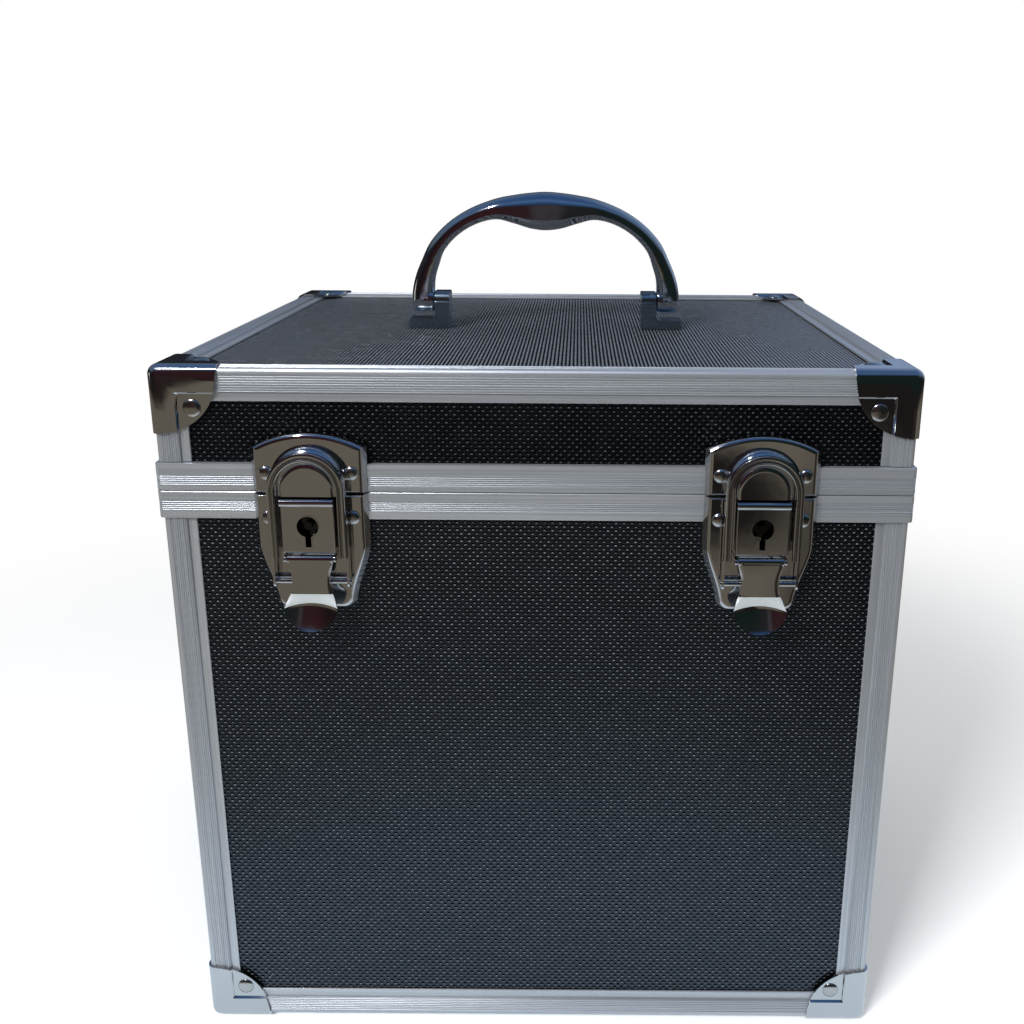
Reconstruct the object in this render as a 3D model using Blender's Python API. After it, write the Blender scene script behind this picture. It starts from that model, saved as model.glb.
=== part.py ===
"""Carrying case with aluminium edges, a hinged lid, two key latches and a swinging handle.

Lengths are metres. The case stands on the corner caps of its base, faces -Y and opens towards +Y.
Pieces are worked out around the middle of the case body. The empty case_origin then shifts them
along Y, so that the world origin lies under the middle of the whole case, latches and hinges included.
"""
import math

import bmesh
import bpy
from mathutils import Matrix, Vector
from mathutils.geometry import tessellate_polygon

# Overall body, measured over the edge extrusions
CASE_WIDTH = 0.350
CASE_DEPTH = 0.320
CASE_HEIGHT = 0.352
LID_HEIGHT = 0.0574
LID_GAP = 0.0004
FIT_GAP = 0.0003

# Panels and lining
PANEL_THICKNESS = 0.005
LINING_THICKNESS = 0.003

# Edge extrusions: a ribbed outer strip, a lower lip on the panel, and a wall behind the panel
EDGE_WIDTH = 0.0154
EDGE_RIBBED_WIDTH = 0.0108
EDGE_THICKNESS = 0.0022
EDGE_LIP_THICKNESS = 0.001
EDGE_ROUND = 0.0036
EDGE_WALL = 0.001

# Rim bands on both sides of the split
RIM_HEIGHT = 0.013
RIM_WALL = 0.0011
RIM_WEB = 0.0012
RIM_FIN = 0.001
TONGUE_HEIGHT = 0.003
TONGUE_THICKNESS = 0.0012

# Corner caps
CAP_SIZE = 0.032
CAP_THICKNESS = 0.0012
CAP_EDGE_RADIUS = 0.005
CAP_STEP_WALL = 0.0008
CAP_RIVET_PLACE = 0.0198
# Power of the cosine and sine in a face's outline: 1 is a quarter circle, 0 a square corner
CAP_OUTLINE_SHARE = 0.8

# Rivets, joined to the plate that they hold: a dome outside, a shank and a tail inside
SHANK_RADIUS = 0.0012
TAIL_RADIUS = 0.0022
TAIL_HEIGHT = 0.001
CAP_DOME_RADIUS = 0.0042
CAP_DOME_HEIGHT = 0.0015
BOTTOM_DOME_HEIGHT = 0.0006
LATCH_DOME_RADIUS = 0.0034
LATCH_DOME_HEIGHT = 0.0019
HINGE_DOME_RADIUS = 0.0028
HINGE_DOME_HEIGHT = 0.0012

# Handle, above the lid's top panel
HANDLE_HALF_SPAN = 0.0774
HANDLE_RISE = 0.061
HANDLE_PIVOT_HEIGHT = 0.0155
HANDLE_LEG_RADIUS = 0.0065
HANDLE_GRIP_HALF_DEPTH = 0.012
HANDLE_LEDGE = 0.0012
HANDLE_PIN_RADIUS = 0.0025
HANDLE_PIN_BITE = 0.007
HANDLE_SIDE_GAP = 0.0004

# Handle brackets
BRACKET_UPRIGHT_WIDTH = 0.0085
BRACKET_FOOT_LENGTH = 0.0236
BRACKET_FOOT_HEIGHT = 0.005
BRACKET_DEPTH = 0.018
BRACKET_CROWN = 0.0055
BRACKET_ROUND = 0.005
SCREW_RADIUS = 0.002
SCREW_HEAD_RADIUS = 0.0038
SCREW_HEAD_HEIGHT = 0.001
SCREW_OUTER_SHARE = 0.75
SCREW_INNER_SHARE = 0.2

# Rear hinges
HINGE_INSET = 0.075
HINGE_LENGTH = 0.050
HINGE_LEAF_HEIGHT = 0.0125
HINGE_LEAF_THICKNESS = 0.0015
HINGE_KNUCKLE_RADIUS = 0.0033
HINGE_PIN_RADIUS = 0.0015
HINGE_PIN_CLEARANCE = 0.0003
HINGE_KNUCKLES = 5
HINGE_SWEEP_CLEARANCE = 0.0004
HINGE_STOP_REACH = 0.007
HINGE_STOP_THICKNESS = 0.0015
HINGE_RIVET_DROP = 0.0075

# Latches: x from the latch's middle, z from the split, out from the case's front face.
# The inset lies between the case's side and the latch's middle.
LATCH_INSET = 0.0705
PLATE_SHEET = 0.0012
PLATE_FRONT = 0.005
PLATE_ROUND = 0.0016
PLATE_HALF_WIDTH = 0.0266
PLATE_GAP = 0.0004
KEEPER_SHOULDER = 0.022
KEEPER_APEX = 0.0284
KEEPER_RIVET_RISE = 0.010
LOCK_RIVET_DROP = 0.0112
LATCH_RIVET_PLACE = 0.0196
LOCK_PLATE_STRAIGHT = 0.0255
LOCK_PLATE_LENGTH = 0.0563
LOCK_PLATE_FOOT_HALF_WIDTH = 0.0192
LOCK_PLATE_FOOT_ROUND = 0.0045
HUMP_HALF_WIDTH = 0.0179
HUMP_APEX = 0.0230
HUMP_FRONT = 0.0106
BOSS_HALF_WIDTH = 0.0126
BOSS_APEX = 0.0160
BOSS_FRONT = 0.0114
HOUSING_HALF_WIDTH = 0.0124
HOUSING_BOTTOM = 0.0264
HOUSING_FRONT = 0.0122
HOUSING_ROUND = 0.0007
ROLL_RADIUS = 0.0018
ROLL_OUT = 0.0123
KEYHOLE_DROP = 0.0136
KEYHOLE_RADIUS = 0.005
KEYHOLE_SLOT_HALF_WIDTH = 0.00135
KEYHOLE_SLOT_END = 0.0234

# Lock cam behind the keyhole
CAM_POST_RADIUS = 0.0019
CAM_DISC_RADIUS = 0.0055
CAM_DISC_THICKNESS = 0.0018
CAM_NOSE_REACH = 0.0100
CAM_NOSE_HALF_WIDTH = 0.0022
CAM_NOSE_THICKNESS = 0.0009
CAM_STUB_RADIUS = 0.0019

# Lever and its axle
AXLE_DROP = 0.0297
AXLE_OUT = 0.011
AXLE_RADIUS = 0.0011
AXLE_CLEARANCE = 0.0003
LEVER_ROLL_RADIUS = 0.0021
LEVER_SHEET = 0.0013
LEVER_TOP_HALF_WIDTH = 0.0106
LEVER_NECK_HALF_WIDTH = 0.0090
LEVER_TAB_HALF_WIDTH = 0.0124
LEVER_NECK_END = 0.0470
LEVER_TAB_START = 0.0498
LEVER_TIP = 0.0630
LEVER_TAB_OUT = 0.0165
LEVER_TIP_OUT = 0.0190
LEVER_TIP_TURN = math.radians(88)
LEVER_EAR_INNER = 0.0076
LEVER_EAR_SHEET = 0.0012
LEVER_EAR_RADIUS = 0.0030
LOCK_EAR_INNER = 0.0109
LOCK_EAR_SHEET = 0.0012
LOCK_EAR_RADIUS = 0.0026

# Draw bail
BAIL_HALF_WIDTH = 0.0179
BAIL_INNER_HALF_WIDTH = 0.0139
BAIL_APEX = 0.0216
BAIL_INNER_APEX = 0.0172
BAIL_UNDERSIDE = 0.0122
BAIL_SHOULDER = 0.0132
BAIL_FRONT = 0.0141
BAIL_RIDGE_ROUND = 0.0009
BAIL_FLANGE_END = 0.0285
BAIL_SKIRT_BOTTOM = 0.0076
BAIL_SKIRT_SHEET = 0.0012
BAIL_SKIRT_INSET = 0.00015
BAIL_PIN_DROP = 0.0412
BAIL_PIN_OUT = 0.0087
BAIL_PIN_RADIUS = 0.0013
BAIL_PIN_INNER = 0.0070
BAIL_EYE_RADIUS = 0.0031
BAIL_EYE_SPREAD = 10

# Overrun of a cutting solid past the face it leaves
CUT_OVERRUN = 0.002

# Sizes that follow from the ones above
CAP_STEP = EDGE_THICKNESS - EDGE_LIP_THICKNESS
CAP_PROUD = FIT_GAP + CAP_THICKNESS
CAP_WALL_PLACE = CAP_PROUD + EDGE_RIBBED_WIDTH + FIT_GAP
CAP_STEP_PLACE = CAP_WALL_PLACE + CAP_STEP_WALL
CORNER_NOTCH = CAP_EDGE_RADIUS - CAP_THICKNESS - FIT_GAP
PANEL_INSET = EDGE_THICKNESS + FIT_GAP
FIN_INSET = PANEL_INSET + PANEL_THICKNESS + FIT_GAP
FIN_END = FIN_INSET + EDGE_WALL
PANEL_EDGE_INSET = FIN_END + FIT_GAP
RIM_FIN_END = FIN_INSET + RIM_FIN
TONGUE_INSET = RIM_FIN_END + FIT_GAP
TONGUE_END = TONGUE_INSET + TONGUE_THICKNESS
LINING_INSET = TONGUE_END + FIT_GAP
LINING_FLOOR_INSET = FIN_END + FIT_GAP
RIM_PROUD = FIT_GAP + RIM_WALL
BODY_BOTTOM = CAP_PROUD
BODY_TOP = BODY_BOTTOM + CASE_HEIGHT
SPLIT = BODY_TOP - LID_HEIGHT
BASE_RIM_TOP = SPLIT - LID_GAP / 2
LID_RIM_BOTTOM = SPLIT + LID_GAP / 2
TOP_SURFACE = BODY_TOP - PANEL_INSET
HANDLE_PIVOT = TOP_SURFACE + HANDLE_PIVOT_HEIGHT
CAP_RIVET_INSET = CAP_RIVET_PLACE - CAP_PROUD
LATCH_PLACE = CASE_WIDTH / 2 - LATCH_INSET
HINGE_PLACE = CASE_WIDTH / 2 - HINGE_INSET
HINGE_LEAF_INNER = RIM_PROUD + FIT_GAP
HINGE_LEAF_OUTER = HINGE_LEAF_INNER + HINGE_LEAF_THICKNESS
HINGE_AXIS_OUT = HINGE_LEAF_INNER + FIT_GAP + HINGE_KNUCKLE_RADIUS
PLATE_BACK = FIT_GAP - PANEL_INSET
PLATE_INNER = PLATE_FRONT - PLATE_SHEET
LEVER_FRONT = AXLE_OUT + LEVER_ROLL_RADIUS
FRONT_REACH = LEVER_TIP_OUT
REAR_REACH = HINGE_AXIS_OUT + HINGE_STOP_REACH
ORIGIN_SHIFT = (FRONT_REACH - REAR_REACH) / 2

# Inner face of a handle leg, as a share of the half span, and the bracket beside it
HANDLE_LEG_INNER_SHARE = 0.829
HANDLE_LEG_INNER = HANDLE_LEG_INNER_SHARE * HANDLE_HALF_SPAN
BRACKET_INNER = HANDLE_LEG_INNER - HANDLE_SIDE_GAP - BRACKET_UPRIGHT_WIDTH

# Shares of the handle's half span and rise, from one leg to the middle of the grip:
# outer x, outer z, inner x, inner z, half depth as a share of the grip's
HANDLE_STATION_SHARES = (
    (1.000, 0.000, HANDLE_LEG_INNER_SHARE, 0.000, 0.54),
    (0.994, 0.100, HANDLE_LEG_INNER_SHARE, 0.100, 0.54),
    (0.968, 0.230, 0.821, 0.215, 0.56),
    (0.921, 0.370, 0.793, 0.330, 0.60),
    (0.846, 0.550, 0.749, 0.467, 0.66),
    (0.717, 0.718, 0.646, 0.605, 0.74),
    (0.556, 0.846, 0.510, 0.705, 0.83),
    (0.375, 0.933, 0.364, 0.748, 0.92),
    (0.233, 0.970, 0.233, 0.712, 0.97),
    (0.116, 0.990, 0.116, 0.668, 1.00),
    (0.000, 1.000, 0.000, 0.651, 1.00),
)
HANDLE_LEDGE_SHARE = 0.72

# Directions of the section's points above and below the ledge, in degrees
HANDLE_UPPER_ANGLES = (90, 55, 20)
HANDLE_LOWER_ANGLES = (0, 45)

# Fineness of round shapes
ROUND_SEGMENTS = 12
PIN_SEGMENTS = 8
RIVET_SEGMENTS = 8
DOME_TURN = math.radians(40)
BEND_SEGMENTS = 3
CAP_OUTLINE_SEGMENTS = 8
ARCH_SEGMENTS = 12
TAB_STATIONS = 6
BEND_SHARES = (0.0, 0.5, 1.0)

FINISHES = {
    "laminate": ((0.012, 0.012, 0.013), 0.45, 0.0),
    "aluminium": ((0.62, 0.64, 0.66), 0.38, 1.0),
    "chrome": ((0.72, 0.73, 0.75), 0.08, 1.0),
    "steel": ((0.45, 0.45, 0.46), 0.35, 1.0),
    "foam": ((0.03, 0.03, 0.032), 0.9, 0.0),
}

SHANK_HOLE_RADIUS = (SHANK_RADIUS + FIT_GAP) / math.cos(math.pi / RIVET_SEGMENTS)

SIDES = ("front", "back", "left", "right")
CORNERS = {
    "front_left": (-1, -1),
    "front_right": (1, -1),
    "back_left": (-1, 1),
    "back_right": (1, 1),
}
LATCHES = {"left": -LATCH_PLACE, "right": LATCH_PLACE}
HINGES = {"left": -HINGE_PLACE, "right": HINGE_PLACE}


# Mesh helpers


def clear_scene():
    for scene_object in list(bpy.data.objects):
        bpy.data.objects.remove(scene_object, do_unlink=True)


def arc_points(centre, radius, start, end, segments):
    """Points on a circle, from the start angle to the end angle in degrees."""
    points = []
    for step in range(segments + 1):
        angle = math.radians(start + (end - start) * step / segments)
        points.append((centre[0] + radius * math.cos(angle), centre[1] + radius * math.sin(angle)))
    return points


def circle_points(centre, radius, segments):
    return arc_points(centre, radius, 0, 360, segments)[:-1]


def box_points(low, high):
    return [(low[0], low[1]), (high[0], low[1]), (high[0], high[1]), (low[0], high[1])]


def close_end(solid, rows):
    """Close one end of a solid. The first row of points is its outline, the others are holes."""
    if len(rows) == 1:
        return [solid.faces.new(rows[0])]
    points = [vert.co for row in rows for vert in row]
    spans = []
    for axis in range(3):
        values = [point[axis] for point in points]
        spans.append(max(values) - min(values))
    kept = [axis for axis in range(3) if axis != spans.index(min(spans))]
    flat = [[Vector((vert.co[kept[0]], vert.co[kept[1]], 0)) for vert in row] for row in rows]
    verts = [vert for row in rows for vert in row]
    return [solid.faces.new([verts[index] for index in triangle]) for triangle in tessellate_polygon(flat)]


def add_stack(solid, levels):
    """Add one closed solid through levels of loops of 3-D points. The first loop is the outline."""
    rows = [[[solid.verts.new(point) for point in loop] for loop in level] for level in levels]
    faces = close_end(solid, rows[0]) + close_end(solid, rows[-1])
    for below, above in zip(rows, rows[1:]):
        for loop_below, loop_above in zip(below, above):
            count = len(loop_below)
            for index in range(count):
                after = (index + 1) % count
                corners = (loop_below[index], loop_below[after], loop_above[after], loop_above[index])
                faces.append(solid.faces.new(corners))
    bmesh.ops.recalc_face_normals(solid, faces=faces)


def add_prism(solid, loops, low, high):
    """Add a prism: low and high place each 2-D point of the loops at its two ends."""
    levels = [[[place(*point) for point in loop] for loop in loops] for place in (low, high)]
    add_stack(solid, levels)


def add_turned(solid, profile, base, axis, segments):
    """Add a turned solid. The profile holds (radius, height) from one pole to the other."""
    turn = Vector((0, 0, 1)).rotation_difference(Vector(axis)).to_matrix()
    place = Vector(base)
    rings = []
    for radius, height in profile:
        if radius == 0:
            rings.append([solid.verts.new(place + turn @ Vector((0, 0, height)))])
            continue
        ring = []
        for x, y in circle_points((0, 0), radius, segments):
            ring.append(solid.verts.new(place + turn @ Vector((x, y, height))))
        rings.append(ring)
    faces = []
    for below, above in zip(rings, rings[1:]):
        for index in range(segments):
            after = (index + 1) % segments
            if len(below) == 1:
                corners = (below[0], above[after], above[index])
            elif len(above) == 1:
                corners = (below[index], below[after], above[0])
            else:
                corners = (below[index], below[after], above[after], above[index])
            faces.append(solid.faces.new(corners))
    bmesh.ops.recalc_face_normals(solid, faces=faces)


def add_cylinder(solid, base, axis, radius, length, segments=ROUND_SEGMENTS):
    add_turned(solid, [(0, 0), (radius, 0), (radius, length), (0, length)], base, axis, segments)


def add_box(solid, low, high):
    loops = [box_points(low[:2], high[:2])]
    add_prism(solid, loops, lambda x, y: (x, y, low[2]), lambda x, y: (x, y, high[2]))


def temporary_object(solid):
    mesh = bpy.data.meshes.new("temporary")
    solid.to_mesh(mesh)
    solid.free()
    temporary = bpy.data.objects.new("temporary", mesh)
    bpy.context.scene.collection.objects.link(temporary)
    return temporary


def boolean(solid, tool, operation):
    """Combine two meshes exactly and return the result. Both inputs are used up."""
    target = temporary_object(solid)
    cutter = temporary_object(tool)
    modifier = target.modifiers.new("combine", "BOOLEAN")
    modifier.operation = operation
    modifier.solver = "EXACT"
    modifier.object = cutter
    evaluated = target.evaluated_get(bpy.context.evaluated_depsgraph_get())
    result = bmesh.new()
    result.from_mesh(evaluated.to_mesh())
    evaluated.to_mesh_clear()
    for used in (target, cutter):
        mesh = used.data
        bpy.data.objects.remove(used, do_unlink=True)
        bpy.data.meshes.remove(mesh)
    return result


def joined(solid, tool):
    return boolean(solid, tool, "UNION")


def cut(solid, tool):
    return boolean(solid, tool, "DIFFERENCE")


def make_material(name, finish):
    colour, roughness, metallic = FINISHES[finish]
    material = bpy.data.materials.new(name)
    material.use_nodes = True
    shader = material.node_tree.nodes["Principled BSDF"]
    shader.inputs["Base Color"].default_value = (*colour, 1)
    shader.inputs["Roughness"].default_value = roughness
    shader.inputs["Metallic"].default_value = metallic
    material.diffuse_color = (*colour, 1)
    return material


def make_object(name, solid, finish, origin=(0, 0, 0), smooth_angle=None):
    """Turn a mesh into a named object whose origin lies at the given place."""
    pivot = Vector(origin)
    bmesh.ops.translate(solid, verts=solid.verts, vec=-pivot)
    mesh = bpy.data.meshes.new(name)
    solid.to_mesh(mesh)
    solid.free()
    if smooth_angle is not None:
        mesh.shade_smooth()
        mesh.set_sharp_from_angle(angle=math.radians(smooth_angle))
    mesh.materials.append(make_material(name + "_finish", finish))
    part = bpy.data.objects.new(name, mesh)
    bpy.context.scene.collection.objects.link(part)
    part.parent = case_origin
    part.location = pivot
    return part


def side_point(side, along, inset, z):
    """A point on one side wall: along the wall, inset from its outer face, at a height."""
    if side == "front":
        return Vector((along, inset - CASE_DEPTH / 2, z))
    if side == "back":
        return Vector((along, CASE_DEPTH / 2 - inset, z))
    if side == "left":
        return Vector((inset - CASE_WIDTH / 2, along, z))
    return Vector((CASE_WIDTH / 2 - inset, along, z))


def side_half(side):
    return CASE_WIDTH / 2 if side in ("front", "back") else CASE_DEPTH / 2


def side_outward(side):
    return side_point(side, 0, 0, 0) - side_point(side, 0, 1, 0)


# Frame of the case


def edge_profile():
    """Section of an edge extrusion: inset from one outer face and from the other, with its hollow."""
    outer = arc_points((EDGE_ROUND, EDGE_ROUND), EDGE_ROUND, 180, 270, BEND_SEGMENTS)
    half = [
        (EDGE_RIBBED_WIDTH, 0),
        (EDGE_RIBBED_WIDTH, CAP_STEP),
        (EDGE_WIDTH, CAP_STEP),
        (EDGE_WIDTH, EDGE_THICKNESS),
        (FIN_END, EDGE_THICKNESS),
        (FIN_END, FIN_INSET),
        (EDGE_WIDTH, FIN_INSET),
        (EDGE_WIDTH, FIN_END),
    ]
    outer += half
    outer.append((FIN_END, FIN_END))
    outer += [(second, first) for first, second in reversed(half)]
    hollow = box_points((EDGE_THICKNESS, EDGE_THICKNESS), (FIN_INSET, FIN_INSET))
    return [outer, hollow]


def make_edges(prefix, level, height_of):
    for side in SIDES:
        solid = bmesh.new()

        def end(sign, side=side):
            def place(inset, drop):
                reach = side_half(side) - max(inset, CORNER_NOTCH) - FIT_GAP
                return side_point(side, sign * reach, inset, height_of(drop))
            return place

        add_prism(solid, edge_profile(), end(-1), end(1))
        make_object(f"{prefix}_{side}_{level}_edge", solid, "aluminium", smooth_angle=35)


def add_upright(solid, corner, bottom, top):
    sign_x, sign_y = CORNERS[corner]

    def end(height):
        def place(inset_x, inset_y):
            x = sign_x * (CASE_WIDTH / 2 - inset_x)
            y = sign_y * (CASE_DEPTH / 2 - inset_y)
            return (x, y, height)
        return place

    add_prism(solid, edge_profile(), end(bottom), end(top))


def make_uprights():
    base_bottom = BODY_BOTTOM + EDGE_WIDTH + FIT_GAP
    base_top = BASE_RIM_TOP - RIM_HEIGHT - FIT_GAP
    lid_bottom = LID_RIM_BOTTOM + RIM_HEIGHT + FIT_GAP
    lid_top = BODY_TOP - EDGE_WIDTH - FIT_GAP
    for body, bottom, top in (("base", base_bottom, base_top), ("lid", lid_bottom, lid_top)):
        for corner in CORNERS:
            solid = bmesh.new()
            add_upright(solid, corner, bottom, top)
            make_object(f"{body}_{corner}_upright", solid, "aluminium", smooth_angle=35)


def rim_profile(with_tongue):
    """Section of a rim band: inset from the case's outer face, and depth from the split face."""
    profile = [(-RIM_PROUD, 0)]
    inner_end = RIM_FIN_END
    if with_tongue:
        inner_end = TONGUE_END
        profile += [(TONGUE_INSET, 0), (TONGUE_INSET, -TONGUE_HEIGHT), (TONGUE_END, -TONGUE_HEIGHT)]
        profile += [(TONGUE_END, RIM_WEB), (RIM_FIN_END, RIM_WEB)]
    else:
        profile += [(inner_end, 0)]
    profile += [
        (RIM_FIN_END, RIM_HEIGHT),
        (FIN_INSET, RIM_HEIGHT),
        (FIN_INSET, RIM_WEB),
        (-FIT_GAP, RIM_WEB),
        (-FIT_GAP, RIM_HEIGHT - RIM_WALL),
        (EDGE_THICKNESS, RIM_HEIGHT - RIM_WALL),
        (EDGE_THICKNESS, RIM_HEIGHT),
        (-RIM_PROUD, RIM_HEIGHT),
    ]
    return profile


def rim_solid(profile, height_of):
    """Sweep a rim section once round the case."""
    solid = bmesh.new()
    turns = ((-1, -1), (1, -1), (1, 1), (-1, 1))
    rows = []
    for sign_x, sign_y in turns:
        row = []
        for inset, depth in profile:
            x = sign_x * (CASE_WIDTH / 2 - inset)
            y = sign_y * (CASE_DEPTH / 2 - inset)
            row.append(solid.verts.new((x, y, height_of(depth))))
        rows.append(row)
    for turn, row in enumerate(rows):
        following = rows[(turn + 1) % len(rows)]
        for index in range(len(profile)):
            after = (index + 1) % len(profile)
            solid.faces.new((row[index], row[after], following[after], following[index]))
    bmesh.ops.recalc_face_normals(solid, faces=solid.faces[:])
    return solid


def hinge_rivet_places(centre):
    """x of the two rivets of a hinge leaf, in line with its end knuckles."""
    reach = HINGE_LENGTH * (1 - 1 / HINGE_KNUCKLES) / 2
    return (centre - reach, centre + reach)


def wall_fixings(body):
    """Places of the latch and hinge rivets of one body, as side, along and height."""
    places = []
    height = SPLIT - LOCK_RIVET_DROP if body == "base" else SPLIT + KEEPER_RIVET_RISE
    for centre in LATCHES.values():
        for sign in (-1, 1):
            places.append(("front", centre + sign * LATCH_RIVET_PLACE, height))
    height = SPLIT - HINGE_RIVET_DROP if body == "base" else SPLIT + HINGE_RIVET_DROP
    for centre in HINGES.values():
        for along in hinge_rivet_places(centre):
            places.append(("back", along, height))
    return places


def make_rims():
    for body in ("base", "lid"):
        if body == "base":
            solid = rim_solid(rim_profile(True), lambda depth: BASE_RIM_TOP - depth)
        else:
            solid = rim_solid(rim_profile(False), lambda depth: LID_RIM_BOTTOM + depth)
        holes = bmesh.new()
        for side, along, height in wall_fixings(body):
            base = side_point(side, along, RIM_FIN_END + CUT_OVERRUN, height)
            length = RIM_FIN_END + RIM_PROUD + CUT_OVERRUN + CUT_OVERRUN
            add_cylinder(holes, base, side_outward(side), SHANK_HOLE_RADIUS, length, RIVET_SEGMENTS)
        make_object(f"{body}_rim", cut(solid, holes), "aluminium")


# Panels and lining


def cap_fixings(side, body):
    """Corner cap rivets on one side wall of one body, as along and height."""
    along = side_half(side) - CAP_RIVET_INSET
    height = BODY_BOTTOM + CAP_RIVET_INSET if body == "base" else BODY_TOP - CAP_RIVET_INSET
    return [(-along, height), (along, height)]


def make_side_panels():
    levels = {
        "base": (BODY_BOTTOM + PANEL_EDGE_INSET, BASE_RIM_TOP - RIM_WEB - FIT_GAP),
        "lid": (LID_RIM_BOTTOM + RIM_WEB + FIT_GAP, BODY_TOP - PANEL_EDGE_INSET),
    }
    for body, (bottom, top) in levels.items():
        for side in SIDES:
            half = side_half(side) - PANEL_EDGE_INSET
            places = cap_fixings(side, body)
            places += [(along, height) for wall, along, height in wall_fixings(body) if wall == side]
            loops = [box_points((-half, bottom), (half, top))]
            loops += [circle_points(place, SHANK_HOLE_RADIUS, RIVET_SEGMENTS) for place in places]
            solid = bmesh.new()
            inner = PANEL_INSET + PANEL_THICKNESS
            add_prism(
                solid,
                loops,
                lambda along, height, side=side: side_point(side, along, PANEL_INSET, height),
                lambda along, height, side=side: side_point(side, along, inner, height),
            )
            make_object(f"{body}_{side}_panel", solid, "laminate")


def bracket_screw_places():
    """Screws that hold the handle brackets, as x on the right side and y."""
    places = []
    for share in (SCREW_INNER_SHARE, SCREW_OUTER_SHARE):
        places.append((BRACKET_INNER + BRACKET_FOOT_LENGTH * share, 0))
    return places


def make_flat_panels():
    half_x = CASE_WIDTH / 2 - PANEL_EDGE_INSET
    half_y = CASE_DEPTH / 2 - PANEL_EDGE_INSET
    rivet_x = CASE_WIDTH / 2 - CAP_RIVET_INSET
    rivet_y = CASE_DEPTH / 2 - CAP_RIVET_INSET
    corner_holes = []
    for sign_x, sign_y in CORNERS.values():
        place = (sign_x * rivet_x, sign_y * rivet_y)
        corner_holes.append(circle_points(place, SHANK_HOLE_RADIUS, RIVET_SEGMENTS))
    screw_holes = []
    for x, y in bracket_screw_places():
        for sign in (-1, 1):
            screw_holes.append(circle_points((sign * x, y), SCREW_RADIUS + FIT_GAP, RIVET_SEGMENTS))
    outline = box_points((-half_x, -half_y), (half_x, half_y))
    panels = (
        ("base_bottom_panel", [outline] + corner_holes, BODY_BOTTOM + PANEL_INSET),
        ("lid_top_panel", [outline] + corner_holes + screw_holes, TOP_SURFACE - PANEL_THICKNESS),
    )
    for name, loops, low in panels:
        solid = bmesh.new()
        high = low + PANEL_THICKNESS
        add_prism(solid, loops, lambda x, y, z=low: (x, y, z), lambda x, y, z=high: (x, y, z))
        make_object(name, solid, "laminate")


def make_lining(name, floor, brim):
    """An open foam box from its floor to its brim."""
    half_x = CASE_WIDTH / 2 - LINING_INSET
    half_y = CASE_DEPTH / 2 - LINING_INSET
    turn = 1 if brim > floor else -1
    inner_floor = floor + turn * LINING_THICKNESS
    levels = []
    for inset, height in ((0, floor), (0, brim), (LINING_THICKNESS, brim), (LINING_THICKNESS, inner_floor)):
        outline = box_points((inset - half_x, inset - half_y), (half_x - inset, half_y - inset))
        levels.append([[(x, y, height) for x, y in outline]])
    solid = bmesh.new()
    add_stack(solid, levels)
    make_object(name, solid, "foam")


# Corner caps with their rivets


def add_rivet(solid, seat, outward, dome, sheet, grip):
    """A rivet through a sheet. Its dome stands on the seat and its tail lies behind the grip length."""
    dome_radius, dome_height = dome
    profile = [
        (0, -grip - TAIL_HEIGHT),
        (TAIL_RADIUS, -grip),
        (SHANK_RADIUS, -grip),
        (SHANK_RADIUS, -sheet / 2),
        (dome_radius, -sheet / 2),
        (dome_radius * math.cos(DOME_TURN), dome_height * math.sin(DOME_TURN)),
        (0, dome_height),
    ]
    add_turned(solid, profile, seat, outward, RIVET_SEGMENTS)


def rounded_corner(low, size, radius):
    """A cube from low to size whose three edges at the low corner are rounded."""
    solid = bmesh.new()
    add_box(solid, (low, low, low), (size, size, size))
    solid.verts.ensure_lookup_table()
    edges = []
    for edge in solid.edges:
        ends = [vert.co for vert in edge.verts]
        shared = sum(1 for axis in range(3) if max(end[axis] for end in ends) - low < FIT_GAP)
        if shared == 2:
            edges.append(edge)
    bmesh.ops.bevel(
        solid, geom=edges, offset=radius, offset_type="OFFSET", segments=BEND_SEGMENTS, profile=0.5,
        affect="EDGES",
    )
    return solid


def cap_face_solid(solid, face):
    """The outline of one cap face, a thick slab. Face 0, 1 or 2 is the axis that it looks along."""
    outline = [(-CUT_OVERRUN, -CUT_OVERRUN), (CAP_SIZE, -CUT_OVERRUN)]
    reach = CAP_SIZE - CAP_EDGE_RADIUS
    for step in range(CAP_OUTLINE_SEGMENTS + 1):
        angle = math.pi / 2 * step / CAP_OUTLINE_SEGMENTS
        x = CAP_EDGE_RADIUS + reach * abs(math.cos(angle)) ** CAP_OUTLINE_SHARE
        y = CAP_EDGE_RADIUS + reach * math.sin(angle) ** CAP_OUTLINE_SHARE
        outline.append((x, y))
    outline.append((-CUT_OVERRUN, CAP_SIZE))

    def end(depth):
        def place(first, second):
            point = [first, second]
            point.insert(face, depth)
            return tuple(point)
        return place

    add_prism(solid, [outline], end(-CUT_OVERRUN), end(CAP_EDGE_RADIUS))


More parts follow.
